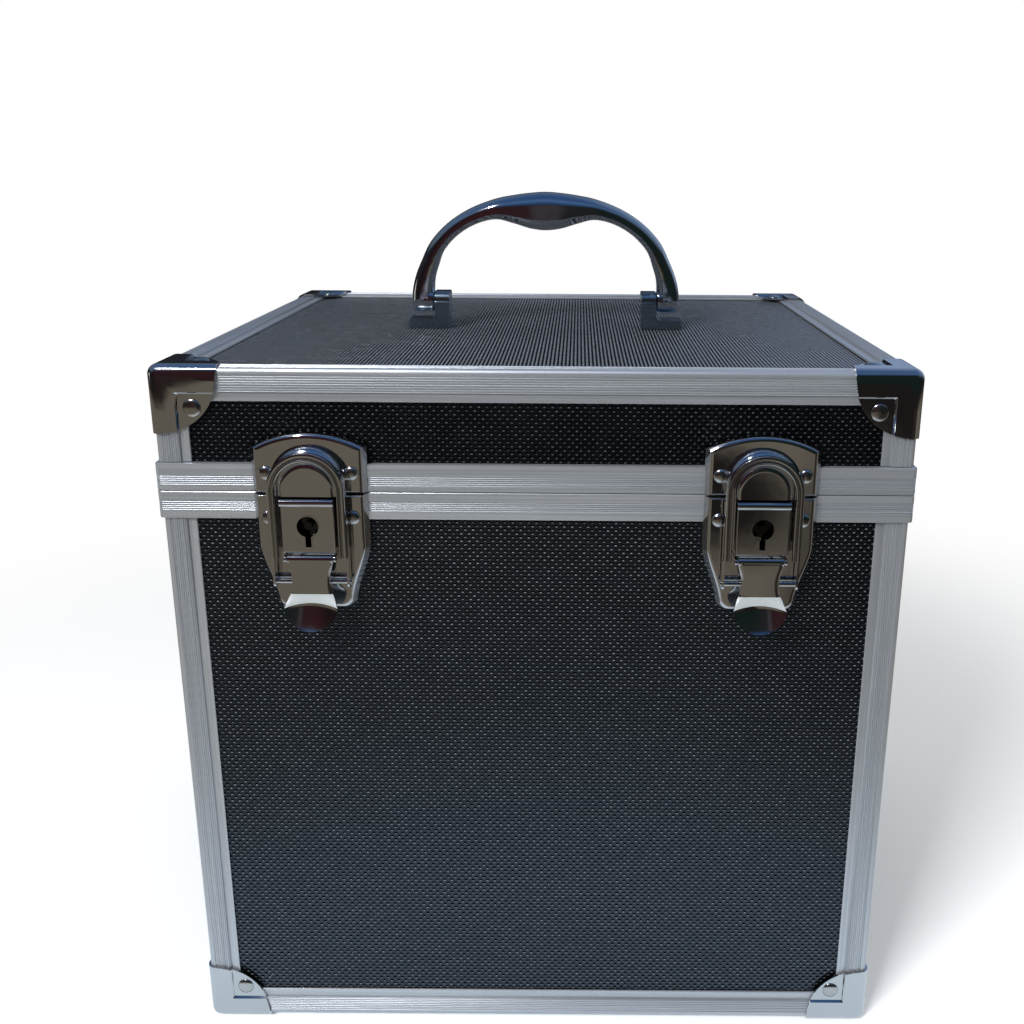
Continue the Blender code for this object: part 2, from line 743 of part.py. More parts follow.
def cap_solid(level_dome_height):
    """One corner cap and its rivets, with its outer corner at the origin and its sides along the axes.

    The rivet in the level face takes its own dome height.
    """
    reach = CAP_SIZE + CUT_OVERRUN
    shell = rounded_corner(0, reach, CAP_EDGE_RADIUS)
    inner = rounded_corner(CAP_THICKNESS, reach + CUT_OVERRUN, CAP_EDGE_RADIUS - CAP_THICKNESS)
    for face in range(3):
        pad = bmesh.new()
        low = [CAP_WALL_PLACE] * 3
        high = [reach + CUT_OVERRUN + CUT_OVERRUN] * 3
        low[face] = 0
        high[face] = CAP_STEP + CAP_THICKNESS
        add_box(pad, low, high)
        inner = cut(inner, pad)
    shell = cut(shell, inner)
    for face in range(3):
        pocket = bmesh.new()
        low = [CAP_STEP_PLACE] * 3
        high = [reach + CUT_OVERRUN] * 3
        low[face] = -CUT_OVERRUN
        high[face] = CAP_STEP
        add_box(pocket, low, high)
        shell = cut(shell, pocket)
    outlines = bmesh.new()
    cap_face_solid(outlines, 0)
    for face in (1, 2):
        slab = bmesh.new()
        cap_face_solid(slab, face)
        outlines = joined(outlines, slab)
    shell = boolean(shell, outlines, "INTERSECT")
    rivets = bmesh.new()
    grip = PANEL_INSET + PANEL_THICKNESS + FIT_GAP + CAP_PROUD - CAP_STEP
    for face in range(3):
        seat = [CAP_RIVET_PLACE] * 3
        seat[face] = CAP_STEP
        outward = [0, 0, 0]
        outward[face] = -1
        height = level_dome_height if face == 2 else CAP_DOME_HEIGHT
        add_rivet(rivets, seat, outward, (CAP_DOME_RADIUS, height), CAP_THICKNESS, grip)
    return joined(shell, rivets)


def make_caps():
    levels = (
        ("base", 1, BODY_BOTTOM - CAP_PROUD, BOTTOM_DOME_HEIGHT),
        ("lid", -1, BODY_TOP + CAP_PROUD, CAP_DOME_HEIGHT),
    )
    for body, sign_z, height, dome_height in levels:
        pattern = bpy.data.meshes.new("cap_pattern")
        shell = cap_solid(dome_height)
        shell.to_mesh(pattern)
        shell.free()
        for corner, (sign_x, sign_y) in CORNERS.items():
            solid = bmesh.new()
            solid.from_mesh(pattern)
            turn = Matrix.Diagonal((-sign_x, -sign_y, sign_z, 1))
            outer_x = sign_x * (CASE_WIDTH / 2 + CAP_PROUD)
            outer_y = sign_y * (CASE_DEPTH / 2 + CAP_PROUD)
            bmesh.ops.transform(solid, matrix=turn, verts=solid.verts)
            bmesh.ops.translate(solid, verts=solid.verts, vec=(outer_x, outer_y, height))
            bmesh.ops.recalc_face_normals(solid, faces=solid.faces[:])
            make_object(f"{body}_{corner}_cap", solid, "chrome", smooth_angle=40)
        bpy.data.meshes.remove(pattern)


# Handle


def smooth_stations():
    """The handle's stations with one point more between each pair, on a Catmull-Rom curve."""
    mirrored = [(-row[0], row[1], -row[2], row[3], row[4]) for row in reversed(HANDLE_STATION_SHARES[:-1])]
    rows = [list(row) for row in HANDLE_STATION_SHARES] + [list(row) for row in mirrored]
    stations = []
    for index in range(len(rows) - 1):
        before = rows[max(index - 1, 0)]
        here = rows[index]
        after = rows[index + 1]
        beyond = rows[min(index + 2, len(rows) - 1)]
        stations.append(here)
        middle = []
        for a, b, c, d in zip(before, here, after, beyond):
            middle.append((9 * (b + c) - a - d) / 16)
        stations.append(middle)
    stations.append(rows[-1])
    return stations


def handle_section(outer, inner, half_depth):
    """One ring round the grip: a convex upper face, a small ledge, and a narrower underside."""
    ledge = outer.lerp(inner, HANDLE_LEDGE_SHARE)
    lower_half = half_depth - HANDLE_LEDGE
    right = []
    for angle in HANDLE_UPPER_ANGLES:
        turn = math.radians(angle)
        centre = ledge.lerp(outer, math.sin(turn))
        right.append(centre + Vector((0, half_depth * math.cos(turn), 0)))
    right.append(ledge + Vector((0, half_depth, 0)))
    for angle in HANDLE_LOWER_ANGLES:
        turn = math.radians(angle)
        centre = ledge.lerp(inner, math.sin(turn))
        right.append(centre + Vector((0, lower_half * math.cos(turn), 0)))
    left = [Vector((point.x, -point.y, point.z)) for point in reversed(right[1:])]
    return right + [inner] + left


def make_handle():
    levels = []
    for outer_x, outer_z, inner_x, inner_z, depth_share in smooth_stations():
        outer = Vector((outer_x * HANDLE_HALF_SPAN, 0, outer_z * HANDLE_RISE))
        inner = Vector((inner_x * HANDLE_HALF_SPAN, 0, inner_z * HANDLE_RISE))
        levels.append([handle_section(outer, inner, depth_share * HANDLE_GRIP_HALF_DEPTH)])
    solid = bmesh.new()
    add_stack(solid, levels)
    for sign in (-1, 1):
        eye = bmesh.new()
        base = (sign * HANDLE_LEG_INNER, 0, 0)
        add_cylinder(eye, base, (sign, 0, 0), HANDLE_LEG_RADIUS, HANDLE_HALF_SPAN - HANDLE_LEG_INNER)
        solid = joined(solid, eye)
    for sign in (-1, 1):
        bore = bmesh.new()
        base = (sign * (HANDLE_LEG_INNER - CUT_OVERRUN), 0, 0)
        radius = HANDLE_PIN_RADIUS + FIT_GAP
        depth = CUT_OVERRUN + HANDLE_PIN_BITE + FIT_GAP
        add_cylinder(bore, base, (sign, 0, 0), radius, depth, PIN_SEGMENTS)
        solid = cut(solid, bore)
    bmesh.ops.translate(solid, verts=solid.verts, vec=(0, 0, HANDLE_PIVOT))
    make_object("handle", solid, "chrome", origin=(0, 0, HANDLE_PIVOT), smooth_angle=35)


def bracket_solid():
    """Bracket on the right with its screws: an upright that holds the pin, and a foot that reaches out."""
    foot_bottom = TOP_SURFACE + FIT_GAP
    upright_outer = BRACKET_INNER + BRACKET_UPRIGHT_WIDTH
    crown = HANDLE_PIVOT + BRACKET_CROWN
    half = BRACKET_DEPTH / 2
    outline = [(-half, foot_bottom), (half, foot_bottom)]
    for sign, start in ((1, 0), (-1, 90)):
        centre = (sign * (half - BRACKET_ROUND), crown - BRACKET_ROUND)
        outline += arc_points(centre, BRACKET_ROUND, start, start + 90, BEND_SEGMENTS)
    upright = bmesh.new()
    add_prism(upright, [outline], lambda y, z: (BRACKET_INNER, y, z), lambda y, z: (upright_outer, y, z))
    foot = bmesh.new()
    foot_end = BRACKET_INNER + BRACKET_FOOT_LENGTH
    foot_start = BRACKET_INNER + BRACKET_UPRIGHT_WIDTH / 2
    add_box(foot, (foot_start, -half, foot_bottom), (foot_end, half, foot_bottom + BRACKET_FOOT_HEIGHT))
    solid = joined(upright, foot)
    bores = bmesh.new()
    bore_radius = HANDLE_PIN_RADIUS + FIT_GAP
    bore_length = BRACKET_UPRIGHT_WIDTH + CUT_OVERRUN + CUT_OVERRUN
    base = (BRACKET_INNER - CUT_OVERRUN, 0, HANDLE_PIVOT)
    add_cylinder(bores, base, (1, 0, 0), bore_radius, bore_length, PIN_SEGMENTS)
    solid = cut(solid, bores)
    screws = bmesh.new()
    head_top = TOP_SURFACE - PANEL_THICKNESS - FIT_GAP
    shank_length = foot_bottom + BRACKET_FOOT_HEIGHT / 2 - head_top
    for x, y in bracket_screw_places():
        profile = [
            (0, -SCREW_HEAD_HEIGHT),
            (SCREW_HEAD_RADIUS, -SCREW_HEAD_HEIGHT),
            (SCREW_HEAD_RADIUS, 0),
            (SCREW_RADIUS, 0),
            (SCREW_RADIUS, shank_length),
            (0, shank_length),
        ]
        add_turned(screws, profile, (x, y, head_top), (0, 0, 1), RIVET_SEGMENTS)
    return joined(solid, screws)


def make_brackets():
    for name, sign in (("left", -1), ("right", 1)):
        solid = bracket_solid()
        bmesh.ops.transform(solid, matrix=Matrix.Diagonal((sign, 1, 1, 1)), verts=solid.verts)
        bmesh.ops.recalc_face_normals(solid, faces=solid.faces[:])
        make_object(f"handle_bracket_{name}", solid, "chrome", smooth_angle=35)
        pin = bmesh.new()
        base = (sign * BRACKET_INNER, 0, HANDLE_PIVOT)
        length = HANDLE_LEG_INNER + HANDLE_PIN_BITE - BRACKET_INNER
        add_cylinder(pin, base, (sign, 0, 0), HANDLE_PIN_RADIUS, length, PIN_SEGMENTS)
        make_object(f"handle_pin_{name}", pin, "steel", smooth_angle=50)


# Rear hinges


def hinge_leaf(centre, body):
    """One leaf: a plate on the rim band, its knuckles, and on the lid a lip that stops the opening."""
    up = -1 if body == "base" else 1
    pitch = HINGE_LENGTH / HINGE_KNUCKLES
    sweep = HINGE_KNUCKLE_RADIUS + HINGE_SWEEP_CLEARANCE
    own = [index for index in range(HINGE_KNUCKLES) if (index % 2 == 0) == (body == "base")]
    left = centre - HINGE_LENGTH / 2
    teeth = []
    for index in range(HINGE_KNUCKLES):
        height = FIT_GAP if index in own else sweep
        start = left + pitch * index
        end = start + pitch
        if index in own:
            start += FIT_GAP
            end -= FIT_GAP
        else:
            start -= FIT_GAP
            end += FIT_GAP
        start = max(start, left)
        end = min(end, left + HINGE_LENGTH)
        teeth += [(start, SPLIT + up * height), (end, SPLIT + up * height)]
    outline = teeth + [
        (left + HINGE_LENGTH, SPLIT + up * HINGE_LEAF_HEIGHT),
        (left, SPLIT + up * HINGE_LEAF_HEIGHT),
    ]
    solid = bmesh.new()
    add_prism(
        solid,
        [outline],
        lambda x, z: side_point("back", x, -HINGE_LEAF_INNER, z),
        lambda x, z: side_point("back", x, -HINGE_LEAF_OUTER, z),
    )
    for index in own:
        start = left + pitch * index + FIT_GAP / 2
        knuckle = bmesh.new()
        base = side_point("back", start, -HINGE_AXIS_OUT, SPLIT)
        add_cylinder(knuckle, base, (1, 0, 0), HINGE_KNUCKLE_RADIUS, pitch - FIT_GAP)
        solid = joined(solid, knuckle)
        if body == "lid":
            lip = bmesh.new()
            half = HINGE_STOP_THICKNESS / 2
            low = side_point("back", start + FIT_GAP, -HINGE_AXIS_OUT, SPLIT - half)
            end = start + pitch - FIT_GAP - FIT_GAP
            high = side_point("back", end, -HINGE_AXIS_OUT - HINGE_STOP_REACH, SPLIT + half)
            add_box(lip, low, high)
            solid = joined(solid, lip)
    rivets = bmesh.new()
    grip = HINGE_LEAF_OUTER + RIM_FIN_END + FIT_GAP
    for along in hinge_rivet_places(centre):
        seat = side_point("back", along, -HINGE_LEAF_OUTER, SPLIT + up * HINGE_RIVET_DROP)
        dome = (HINGE_DOME_RADIUS, HINGE_DOME_HEIGHT)
        add_rivet(rivets, seat, side_outward("back"), dome, HINGE_LEAF_THICKNESS, grip)
    solid = joined(solid, rivets)
    bore = bmesh.new()
    base = side_point("back", left - CUT_OVERRUN, -HINGE_AXIS_OUT, SPLIT)
    length = HINGE_LENGTH + CUT_OVERRUN + CUT_OVERRUN
    radius = HINGE_PIN_RADIUS + HINGE_PIN_CLEARANCE
    add_cylinder(bore, base, (1, 0, 0), radius, length, PIN_SEGMENTS)
    return cut(solid, bore)


def make_hinges():
    axis_point = side_point("back", 0, -HINGE_AXIS_OUT, SPLIT)
    for name, centre in HINGES.items():
        make_object(f"hinge_{name}_base_leaf", hinge_leaf(centre, "base"), "steel", smooth_angle=35)
        origin = (centre, axis_point.y, SPLIT)
        make_object(f"hinge_{name}_lid_leaf", hinge_leaf(centre, "lid"), "steel", origin, smooth_angle=35)
        pin = bmesh.new()
        base = (centre - HINGE_LENGTH / 2, axis_point.y, SPLIT)
        add_cylinder(pin, base, (1, 0, 0), HINGE_PIN_RADIUS, HINGE_LENGTH, PIN_SEGMENTS)
        make_object(f"hinge_{name}_pin", pin, "steel", smooth_angle=50)


# Latches, modelled round the split at the middle of the latch, with -Y out of the case


def out_prism(solid, loops, inner, outer):
    """A prism of loops of (x, z), from one distance out of the case to another."""
    add_prism(solid, loops, lambda x, z: (x, -inner, z), lambda x, z: (x, -outer, z))


def out_stack(solid, levels):
    """A solid from levels of (outline of (x, z), distance out of the case)."""
    add_stack(solid, [[[(x, -out, z) for x, z in outline]] for outline, out in levels])


def cross_prism(solid, loops, left, right):
    """A prism of loops of (distance out, z), from one x to another."""
    add_prism(solid, loops, lambda out, z: (left, -out, z), lambda out, z: (right, -out, z))


def rounded_levels(outline_at, back, front, rounding):
    """Levels of a plate whose front edge is rounded. outline_at gives the outline at an inset."""
    levels = [(outline_at(0), back)]
    for share in BEND_SHARES:
        turn = math.pi / 2 * share
        inset = rounding * (1 - math.cos(turn))
        levels.append((outline_at(inset), front - rounding * (1 - math.sin(turn))))
    return levels


def keeper_outline(inset):
    """Straight sides, and an arch from shoulder to shoulder."""
    half = PLATE_HALF_WIDTH - inset
    apex = KEEPER_APEX - inset
    shoulder = KEEPER_SHOULDER - inset * (KEEPER_SHOULDER / KEEPER_APEX)
    rise = apex - shoulder
    radius = (half * half + rise * rise) / (2 * rise)
    spread = math.degrees(math.asin(half / radius))
    arch = arc_points((0, apex - radius), radius, 90 - spread, 90 + spread, CAP_OUTLINE_SEGMENTS)
    return [(-half, PLATE_GAP + inset), (half, PLATE_GAP + inset)] + arch


def arch_outline(half, apex, bottom):
    """Straight legs and a half-round top."""
    arch = arc_points((0, apex - half), half, 0, 180, ARCH_SEGMENTS)
    return [(-half, bottom), (half, bottom)] + arch


def lock_outline(inset):
    """Straight sides that curve in to a narrower foot with rounded corners."""
    half = PLATE_HALF_WIDTH - inset
    foot = LOCK_PLATE_FOOT_HALF_WIDTH - inset
    bottom = inset - LOCK_PLATE_LENGTH
    corner = bottom + LOCK_PLATE_FOOT_ROUND
    right = [(half, -PLATE_GAP - inset), (half, -LOCK_PLATE_STRAIGHT)]
    for step in range(1, BEND_SEGMENTS + 1):
        share = step / (BEND_SEGMENTS + 1)
        ease = share * share * (3 - 2 * share)
        x = half + (foot - half) * (share + ease) / 2
        right.append((x, -LOCK_PLATE_STRAIGHT + (corner + LOCK_PLATE_STRAIGHT) * share))
    centre = (foot - LOCK_PLATE_FOOT_ROUND, corner)
    right += arc_points(centre, LOCK_PLATE_FOOT_ROUND, 0, -90, BEND_SEGMENTS)
    left = [(-x, z) for x, z in reversed(right)]
    return right + left


def pan_solid(outline_at):
    """A pressed plate: rounded front edge, walls that reach the panel, open at the back."""
    solid = bmesh.new()
    out_stack(solid, rounded_levels(outline_at, PLATE_BACK, PLATE_FRONT, PLATE_ROUND))
    return solid


def pan_cutter(outline_at):
    cavity = bmesh.new()
    inset = PLATE_SHEET + PLATE_ROUND / 2
    out_prism(cavity, [outline_at(inset)], PLATE_BACK - CUT_OVERRUN, PLATE_INNER)
    return cavity


def rim_clearance(sign):
    """Room for the rim band behind a plate above (1) or below (-1) the split."""
    room = bmesh.new()
    reach = PLATE_HALF_WIDTH + CUT_OVERRUN
    near = -sign * CUT_OVERRUN
    far = sign * (LID_GAP / 2 + RIM_HEIGHT + FIT_GAP)
    out_prism(
        room,
        [box_points((-reach, min(near, far)), (reach, max(near, far)))],
        PLATE_BACK - CUT_OVERRUN,
        RIM_PROUD + FIT_GAP,
    )
    return room


def with_rivets(solid, height):
    """Join the two rivets that hold a plate at one height."""
    rivets = bmesh.new()
    for sign in (-1, 1):
        seat = (sign * LATCH_RIVET_PLACE, -PLATE_FRONT, height)
        dome = (LATCH_DOME_RADIUS, LATCH_DOME_HEIGHT)
        grip = PLATE_FRONT + RIM_FIN_END + FIT_GAP
        add_rivet(rivets, seat, (0, -1, 0), dome, PLATE_SHEET, grip)
    return joined(solid, rivets)


def keeper_solid():
    """Keeper plate with its hump, the boss on the hump, and its rivets."""
    solid = cut(pan_solid(keeper_outline), pan_cutter(keeper_outline))
    middle = (PLATE_INNER + PLATE_FRONT) / 2
    hump = bmesh.new()
    out_stack(hump, rounded_levels(
        lambda inset: arch_outline(HUMP_HALF_WIDTH - inset, HUMP_APEX - inset, PLATE_GAP),
        middle, HUMP_FRONT, PLATE_ROUND,
    ))
    solid = joined(solid, hump)
    boss = bmesh.new()
    boss_height = BOSS_FRONT - HUMP_FRONT
    out_stack(boss, rounded_levels(
        lambda inset: arch_outline(BOSS_HALF_WIDTH - inset, BOSS_APEX - inset, PLATE_GAP),
        HUMP_FRONT - boss_height, BOSS_FRONT, boss_height,
    ))
    solid = joined(solid, boss)
    hollow = bmesh.new()
    sheet = PLATE_SHEET + PLATE_ROUND / 2
    out_prism(
        hollow,
        [arch_outline(HUMP_HALF_WIDTH - sheet, HUMP_APEX - sheet, PLATE_GAP + PLATE_SHEET)],
        PLATE_BACK,
        HUMP_FRONT - PLATE_SHEET,
    )
    solid = cut(solid, hollow)
    solid = cut(solid, rim_clearance(1))
    return with_rivets(solid, KEEPER_RIVET_RISE)


def housing_outline(inset):
    half = HOUSING_HALF_WIDTH - inset
    return box_points((-half, inset - HOUSING_BOTTOM), (half, -PLATE_GAP - inset))


def keyhole_outline():
    """A round hole with a slot below it."""
    half = KEYHOLE_SLOT_HALF_WIDTH
    spread = math.degrees(math.asin(half / KEYHOLE_RADIUS))
    ring = arc_points((0, -KEYHOLE_DROP), KEYHOLE_RADIUS, spread - 90, 270 - spread, ROUND_SEGMENTS)
    return ring + [(-half, -KEYHOLE_SLOT_END), (half, -KEYHOLE_SLOT_END)]


def lock_ear_outline():
    """Side view of an ear that carries the lever's axle: distance out, height."""
    base = (PLATE_INNER + PLATE_FRONT) / 2
    top = arc_points((AXLE_OUT, -AXLE_DROP), LOCK_EAR_RADIUS, -90, 90, BEND_SEGMENTS * 2)
    ear_foot = AXLE_DROP + LOCK_EAR_RADIUS
    return [(base, -ear_foot)] + top + [(base, LOCK_EAR_RADIUS - AXLE_DROP)]


def lock_plate_solid():
    """Lock plate with its housing, the ears and the axle that carry the lever, and its rivets."""
    solid = cut(pan_solid(lock_outline), pan_cutter(lock_outline))
    middle = (PLATE_INNER + PLATE_FRONT) / 2
    housing = bmesh.new()
    out_stack(housing, rounded_levels(housing_outline, middle, HOUSING_FRONT, HOUSING_ROUND))
    solid = joined(solid, housing)
    roll = bmesh.new()
    base = (-HOUSING_HALF_WIDTH, -ROLL_OUT, -PLATE_GAP - ROLL_RADIUS)
    add_cylinder(roll, base, (1, 0, 0), ROLL_RADIUS, HOUSING_HALF_WIDTH * 2)
    solid = joined(solid, roll)
    for sign in (-1, 1):
        ear = bmesh.new()
        inner = sign * LOCK_EAR_INNER
        outer = sign * (LOCK_EAR_INNER + LOCK_EAR_SHEET)
        cross_prism(ear, [lock_ear_outline()], inner, outer)
        solid = joined(solid, ear)
    cavity = bmesh.new()
    half = HOUSING_HALF_WIDTH - PLATE_SHEET
    top = -PLATE_GAP - PLATE_SHEET - ROLL_RADIUS
    out_prism(
        cavity,
        [box_points((-half, PLATE_SHEET - HOUSING_BOTTOM), (half, top))],
        PLATE_FRONT,
        HOUSING_FRONT - PLATE_SHEET,
    )
    solid = cut(solid, cavity)
    keyhole = bmesh.new()
    out_prism(keyhole, [keyhole_outline()], HOUSING_FRONT - PLATE_SHEET * 2, HOUSING_FRONT + CUT_OVERRUN)
    solid = cut(solid, keyhole)
    bore = bmesh.new()
    stub = (0, 0, -KEYHOLE_DROP)
    add_cylinder(bore, stub, (0, -1, 0), CAM_STUB_RADIUS + FIT_GAP, PLATE_FRONT + FIT_GAP, RIVET_SEGMENTS)
    solid = cut(solid, bore)
    solid = cut(solid, rim_clearance(-1))
    axle = bmesh.new()
    reach = LOCK_EAR_INNER + LOCK_EAR_SHEET
    base = (-reach, -AXLE_OUT, -AXLE_DROP)
    add_cylinder(axle, base, (1, 0, 0), AXLE_RADIUS, reach * 2, RIVET_SEGMENTS)
    solid = joined(solid, axle)
    return with_rivets(solid, -LOCK_RIVET_DROP)


def cam_solid():
    """Lock cam: stub in the plate, disc with a nose, and the post that the key turns."""
    seat = PLATE_FRONT + FIT_GAP
    disc_top = seat + CAM_DISC_THICKNESS
    post_top = HOUSING_FRONT - PLATE_SHEET
    profile = [
        (0, PLATE_INNER),
        (CAM_STUB_RADIUS, PLATE_INNER),
        (CAM_STUB_RADIUS, seat),
        (CAM_DISC_RADIUS, seat),
        (CAM_DISC_RADIUS, disc_top),
        (CAM_POST_RADIUS, disc_top),
        (CAM_POST_RADIUS, post_top),
        (0, post_top),
    ]
    solid = bmesh.new()
    add_turned(solid, profile, (0, 0, -KEYHOLE_DROP), (0, -1, 0), ROUND_SEGMENTS)
    nose = bmesh.new()
    low = -KEYHOLE_DROP - CAM_NOSE_HALF_WIDTH
    high = -KEYHOLE_DROP + CAM_NOSE_HALF_WIDTH
    inner = (seat + disc_top - CAM_NOSE_THICKNESS) / 2
    outline = box_points((0, low), (CAM_NOSE_REACH, high))
    out_prism(nose, [outline], inner, inner + CAM_NOSE_THICKNESS)
    return joined(solid, nose)


def lever_stations():
    """Stations down the lever's front face: height, distance out, half width."""
    stations = [
        (-AXLE_DROP, LEVER_FRONT, LEVER_TOP_HALF_WIDTH),
        (-(AXLE_DROP + LEVER_ROLL_RADIUS * 2), LEVER_FRONT, LEVER_NECK_HALF_WIDTH),
        (-LEVER_NECK_END, LEVER_FRONT, LEVER_NECK_HALF_WIDTH),
        (-LEVER_TAB_START, LEVER_TAB_OUT, LEVER_TAB_HALF_WIDTH),
    ]
    length = LEVER_TIP - LEVER_TAB_START
    for step in range(1, TAB_STATIONS + 1):
        turn = LEVER_TIP_TURN * step / TAB_STATIONS
        drop = LEVER_TAB_START + length * math.sin(turn)
        out = LEVER_TAB_OUT + (LEVER_TIP_OUT - LEVER_TAB_OUT) * math.sin(turn)
        stations.append((-drop, out, LEVER_TAB_HALF_WIDTH * math.cos(turn)))
    return stations


def lever_solid():
    levels = []
    for height, out, half in lever_stations():
        outline = box_points((-half, -out), (half, LEVER_SHEET - out))
        levels.append([[(x, y, height) for x, y in outline]])
    solid = bmesh.new()
    add_stack(solid, levels)
    roll = bmesh.new()
    centre = (AXLE_OUT, -AXLE_DROP)
    cross_prism(
        roll,
        [circle_points(centre, LEVER_ROLL_RADIUS, ROUND_SEGMENTS)],
        -LEVER_TOP_HALF_WIDTH,
        LEVER_TOP_HALF_WIDTH,
    )
    solid = joined(solid, roll)
    pin = (BAIL_PIN_OUT, -BAIL_PIN_DROP)
    plate_back = LEVER_FRONT - LEVER_SHEET / 2
    outline = arc_points(pin, LEVER_EAR_RADIUS, 90, 270, BEND_SEGMENTS * 2)
    outline.append((plate_back, -BAIL_PIN_DROP - LEVER_EAR_RADIUS))
    outline.append((plate_back, LEVER_EAR_RADIUS - BAIL_PIN_DROP))
    hole = circle_points(pin, BAIL_PIN_RADIUS + AXLE_CLEARANCE, RIVET_SEGMENTS)
    for sign in (-1, 1):
        ear = bmesh.new()
        inner = sign * LEVER_EAR_INNER
        cross_prism(ear, [outline, hole], inner, inner + sign * LEVER_EAR_SHEET)
        solid = joined(solid, ear)
    bore = bmesh.new()
    reach = LEVER_TOP_HALF_WIDTH + CUT_OVERRUN
    base = (-reach, -AXLE_OUT, -AXLE_DROP)
    add_cylinder(bore, base, (1, 0, 0), AXLE_RADIUS + AXLE_CLEARANCE, reach * 2, RIVET_SEGMENTS)
    return cut(solid, bore)


def bail_outline(inset):
    """The flat bow of the bail: outer arch down one side, inner arch back up."""
    half = BAIL_HALF_WIDTH - inset
    inner = BAIL_INNER_HALF_WIDTH + inset
    apex = BAIL_APEX - inset
    inner_apex = BAIL_INNER_APEX + inset
    end = -BAIL_FLANGE_END
    outer_arch = arc_points((0, apex - half), half, 0, 180, ARCH_SEGMENTS)
    inner_arch = arc_points((0, inner_apex - inner), inner, 180, 0, ARCH_SEGMENTS)
    return [(half, end)] + outer_arch + [(-half, end), (-inner, end)] + inner_arch + [(inner, end)]


def bail_skirt_outline():
    """Side view of one leg's skirt, down to the eye round its pin: distance out, height."""
    middle = (BAIL_UNDERSIDE + BAIL_SHOULDER) / 2
    pin = (BAIL_PIN_OUT, -BAIL_PIN_DROP)
    outline = [(BAIL_SKIRT_BOTTOM, -PLATE_GAP - FIT_GAP), (BAIL_SKIRT_BOTTOM, -BAIL_FLANGE_END)]
    eye = (180 - BAIL_EYE_SPREAD, 360 + BAIL_EYE_SPREAD)
    outline += arc_points(pin, BAIL_EYE_RADIUS, *eye, BEND_SEGMENTS * 3)
    outline += [(middle, -BAIL_FLANGE_END), (middle, -PLATE_GAP - FIT_GAP)]
    return outline


def bail_solid():
    solid = bmesh.new()
    levels = [(bail_outline(0), BAIL_UNDERSIDE), (bail_outline(0), BAIL_SHOULDER)]
    levels.append((bail_outline(BAIL_RIDGE_ROUND), BAIL_FRONT))
    out_stack(solid, levels)
    for sign in (-1, 1):
        outer = sign * (BAIL_HALF_WIDTH - BAIL_SKIRT_INSET)
        inner = sign * (BAIL_HALF_WIDTH - BAIL_SKIRT_SHEET)
        skirt = bmesh.new()
        cross_prism(skirt, [bail_skirt_outline()], inner, outer)
        solid = joined(solid, skirt)
        pin = bmesh.new()
        base = (sign * BAIL_PIN_INNER, -BAIL_PIN_OUT, -BAIL_PIN_DROP)
        length = BAIL_HALF_WIDTH - BAIL_PIN_INNER - BAIL_SKIRT_SHEET / 2
        add_cylinder(pin, base, (sign, 0, 0), BAIL_PIN_RADIUS, length, PIN_SEGMENTS)
        solid = joined(solid, pin)
    return solid


def place_latch_piece(name, solid, centre, finish, pivot=(0, 0, 0), smooth_angle=35):
    """Put a piece modelled round the latch's middle on the case, with its origin at its pivot."""
    middle = Vector((centre, -CASE_DEPTH / 2, SPLIT))
    bmesh.ops.translate(solid, verts=solid.verts, vec=middle)
    make_object(name, solid, finish, middle + Vector(pivot), smooth_angle)


def make_latches():
    axle_pivot = (0, -AXLE_OUT, -AXLE_DROP)
    pin_pivot = (0, -BAIL_PIN_OUT, -BAIL_PIN_DROP)
    cam_pivot = (0, -PLATE_FRONT, -KEYHOLE_DROP)
    for name, centre in LATCHES.items():
        place_latch_piece(f"{name}_keeper", keeper_solid(), centre, "chrome")
        place_latch_piece(f"{name}_lock_plate", lock_plate_solid(), centre, "chrome")
        place_latch_piece(f"{name}_lever", lever_solid(), centre, "chrome", axle_pivot)
        place_latch_piece(f"{name}_bail", bail_solid(), centre, "chrome", pin_pivot)
        place_latch_piece(f"{name}_lock_cam", cam_solid(), centre, "steel", cam_pivot)


clear_scene()
case_origin = bpy.data.objects.new("case_origin", None)
case_origin.location = (0, ORIGIN_SHIFT, 0)
bpy.context.scene.collection.objects.link(case_origin)

make_edges("base", "bottom", lambda drop: BODY_BOTTOM + drop)
make_edges("lid", "top", lambda drop: BODY_TOP - drop)
make_uprights()
make_rims()
make_side_panels()
make_flat_panels()
make_lining("base_lining", BODY_BOTTOM + LINING_FLOOR_INSET, BASE_RIM_TOP - RIM_WEB)
make_lining("lid_lining", BODY_TOP - LINING_FLOOR_INSET, LID_RIM_BOTTOM + TONGUE_HEIGHT + FIT_GAP)
make_caps()
make_handle()
make_brackets()
make_hinges()
make_latches()
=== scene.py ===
"""Looks of the carrying case: fine profiles, pressed fittings, finishes, light and camera.

Lengths are metres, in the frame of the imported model. Latch pieces are modelled round the middle of
a latch at the split: x across, distance out of the case's front face, and height.
"""
import math

import bmesh
import bpy
from mathutils import Matrix, Vector
from mathutils.geometry import tessellate_polygon


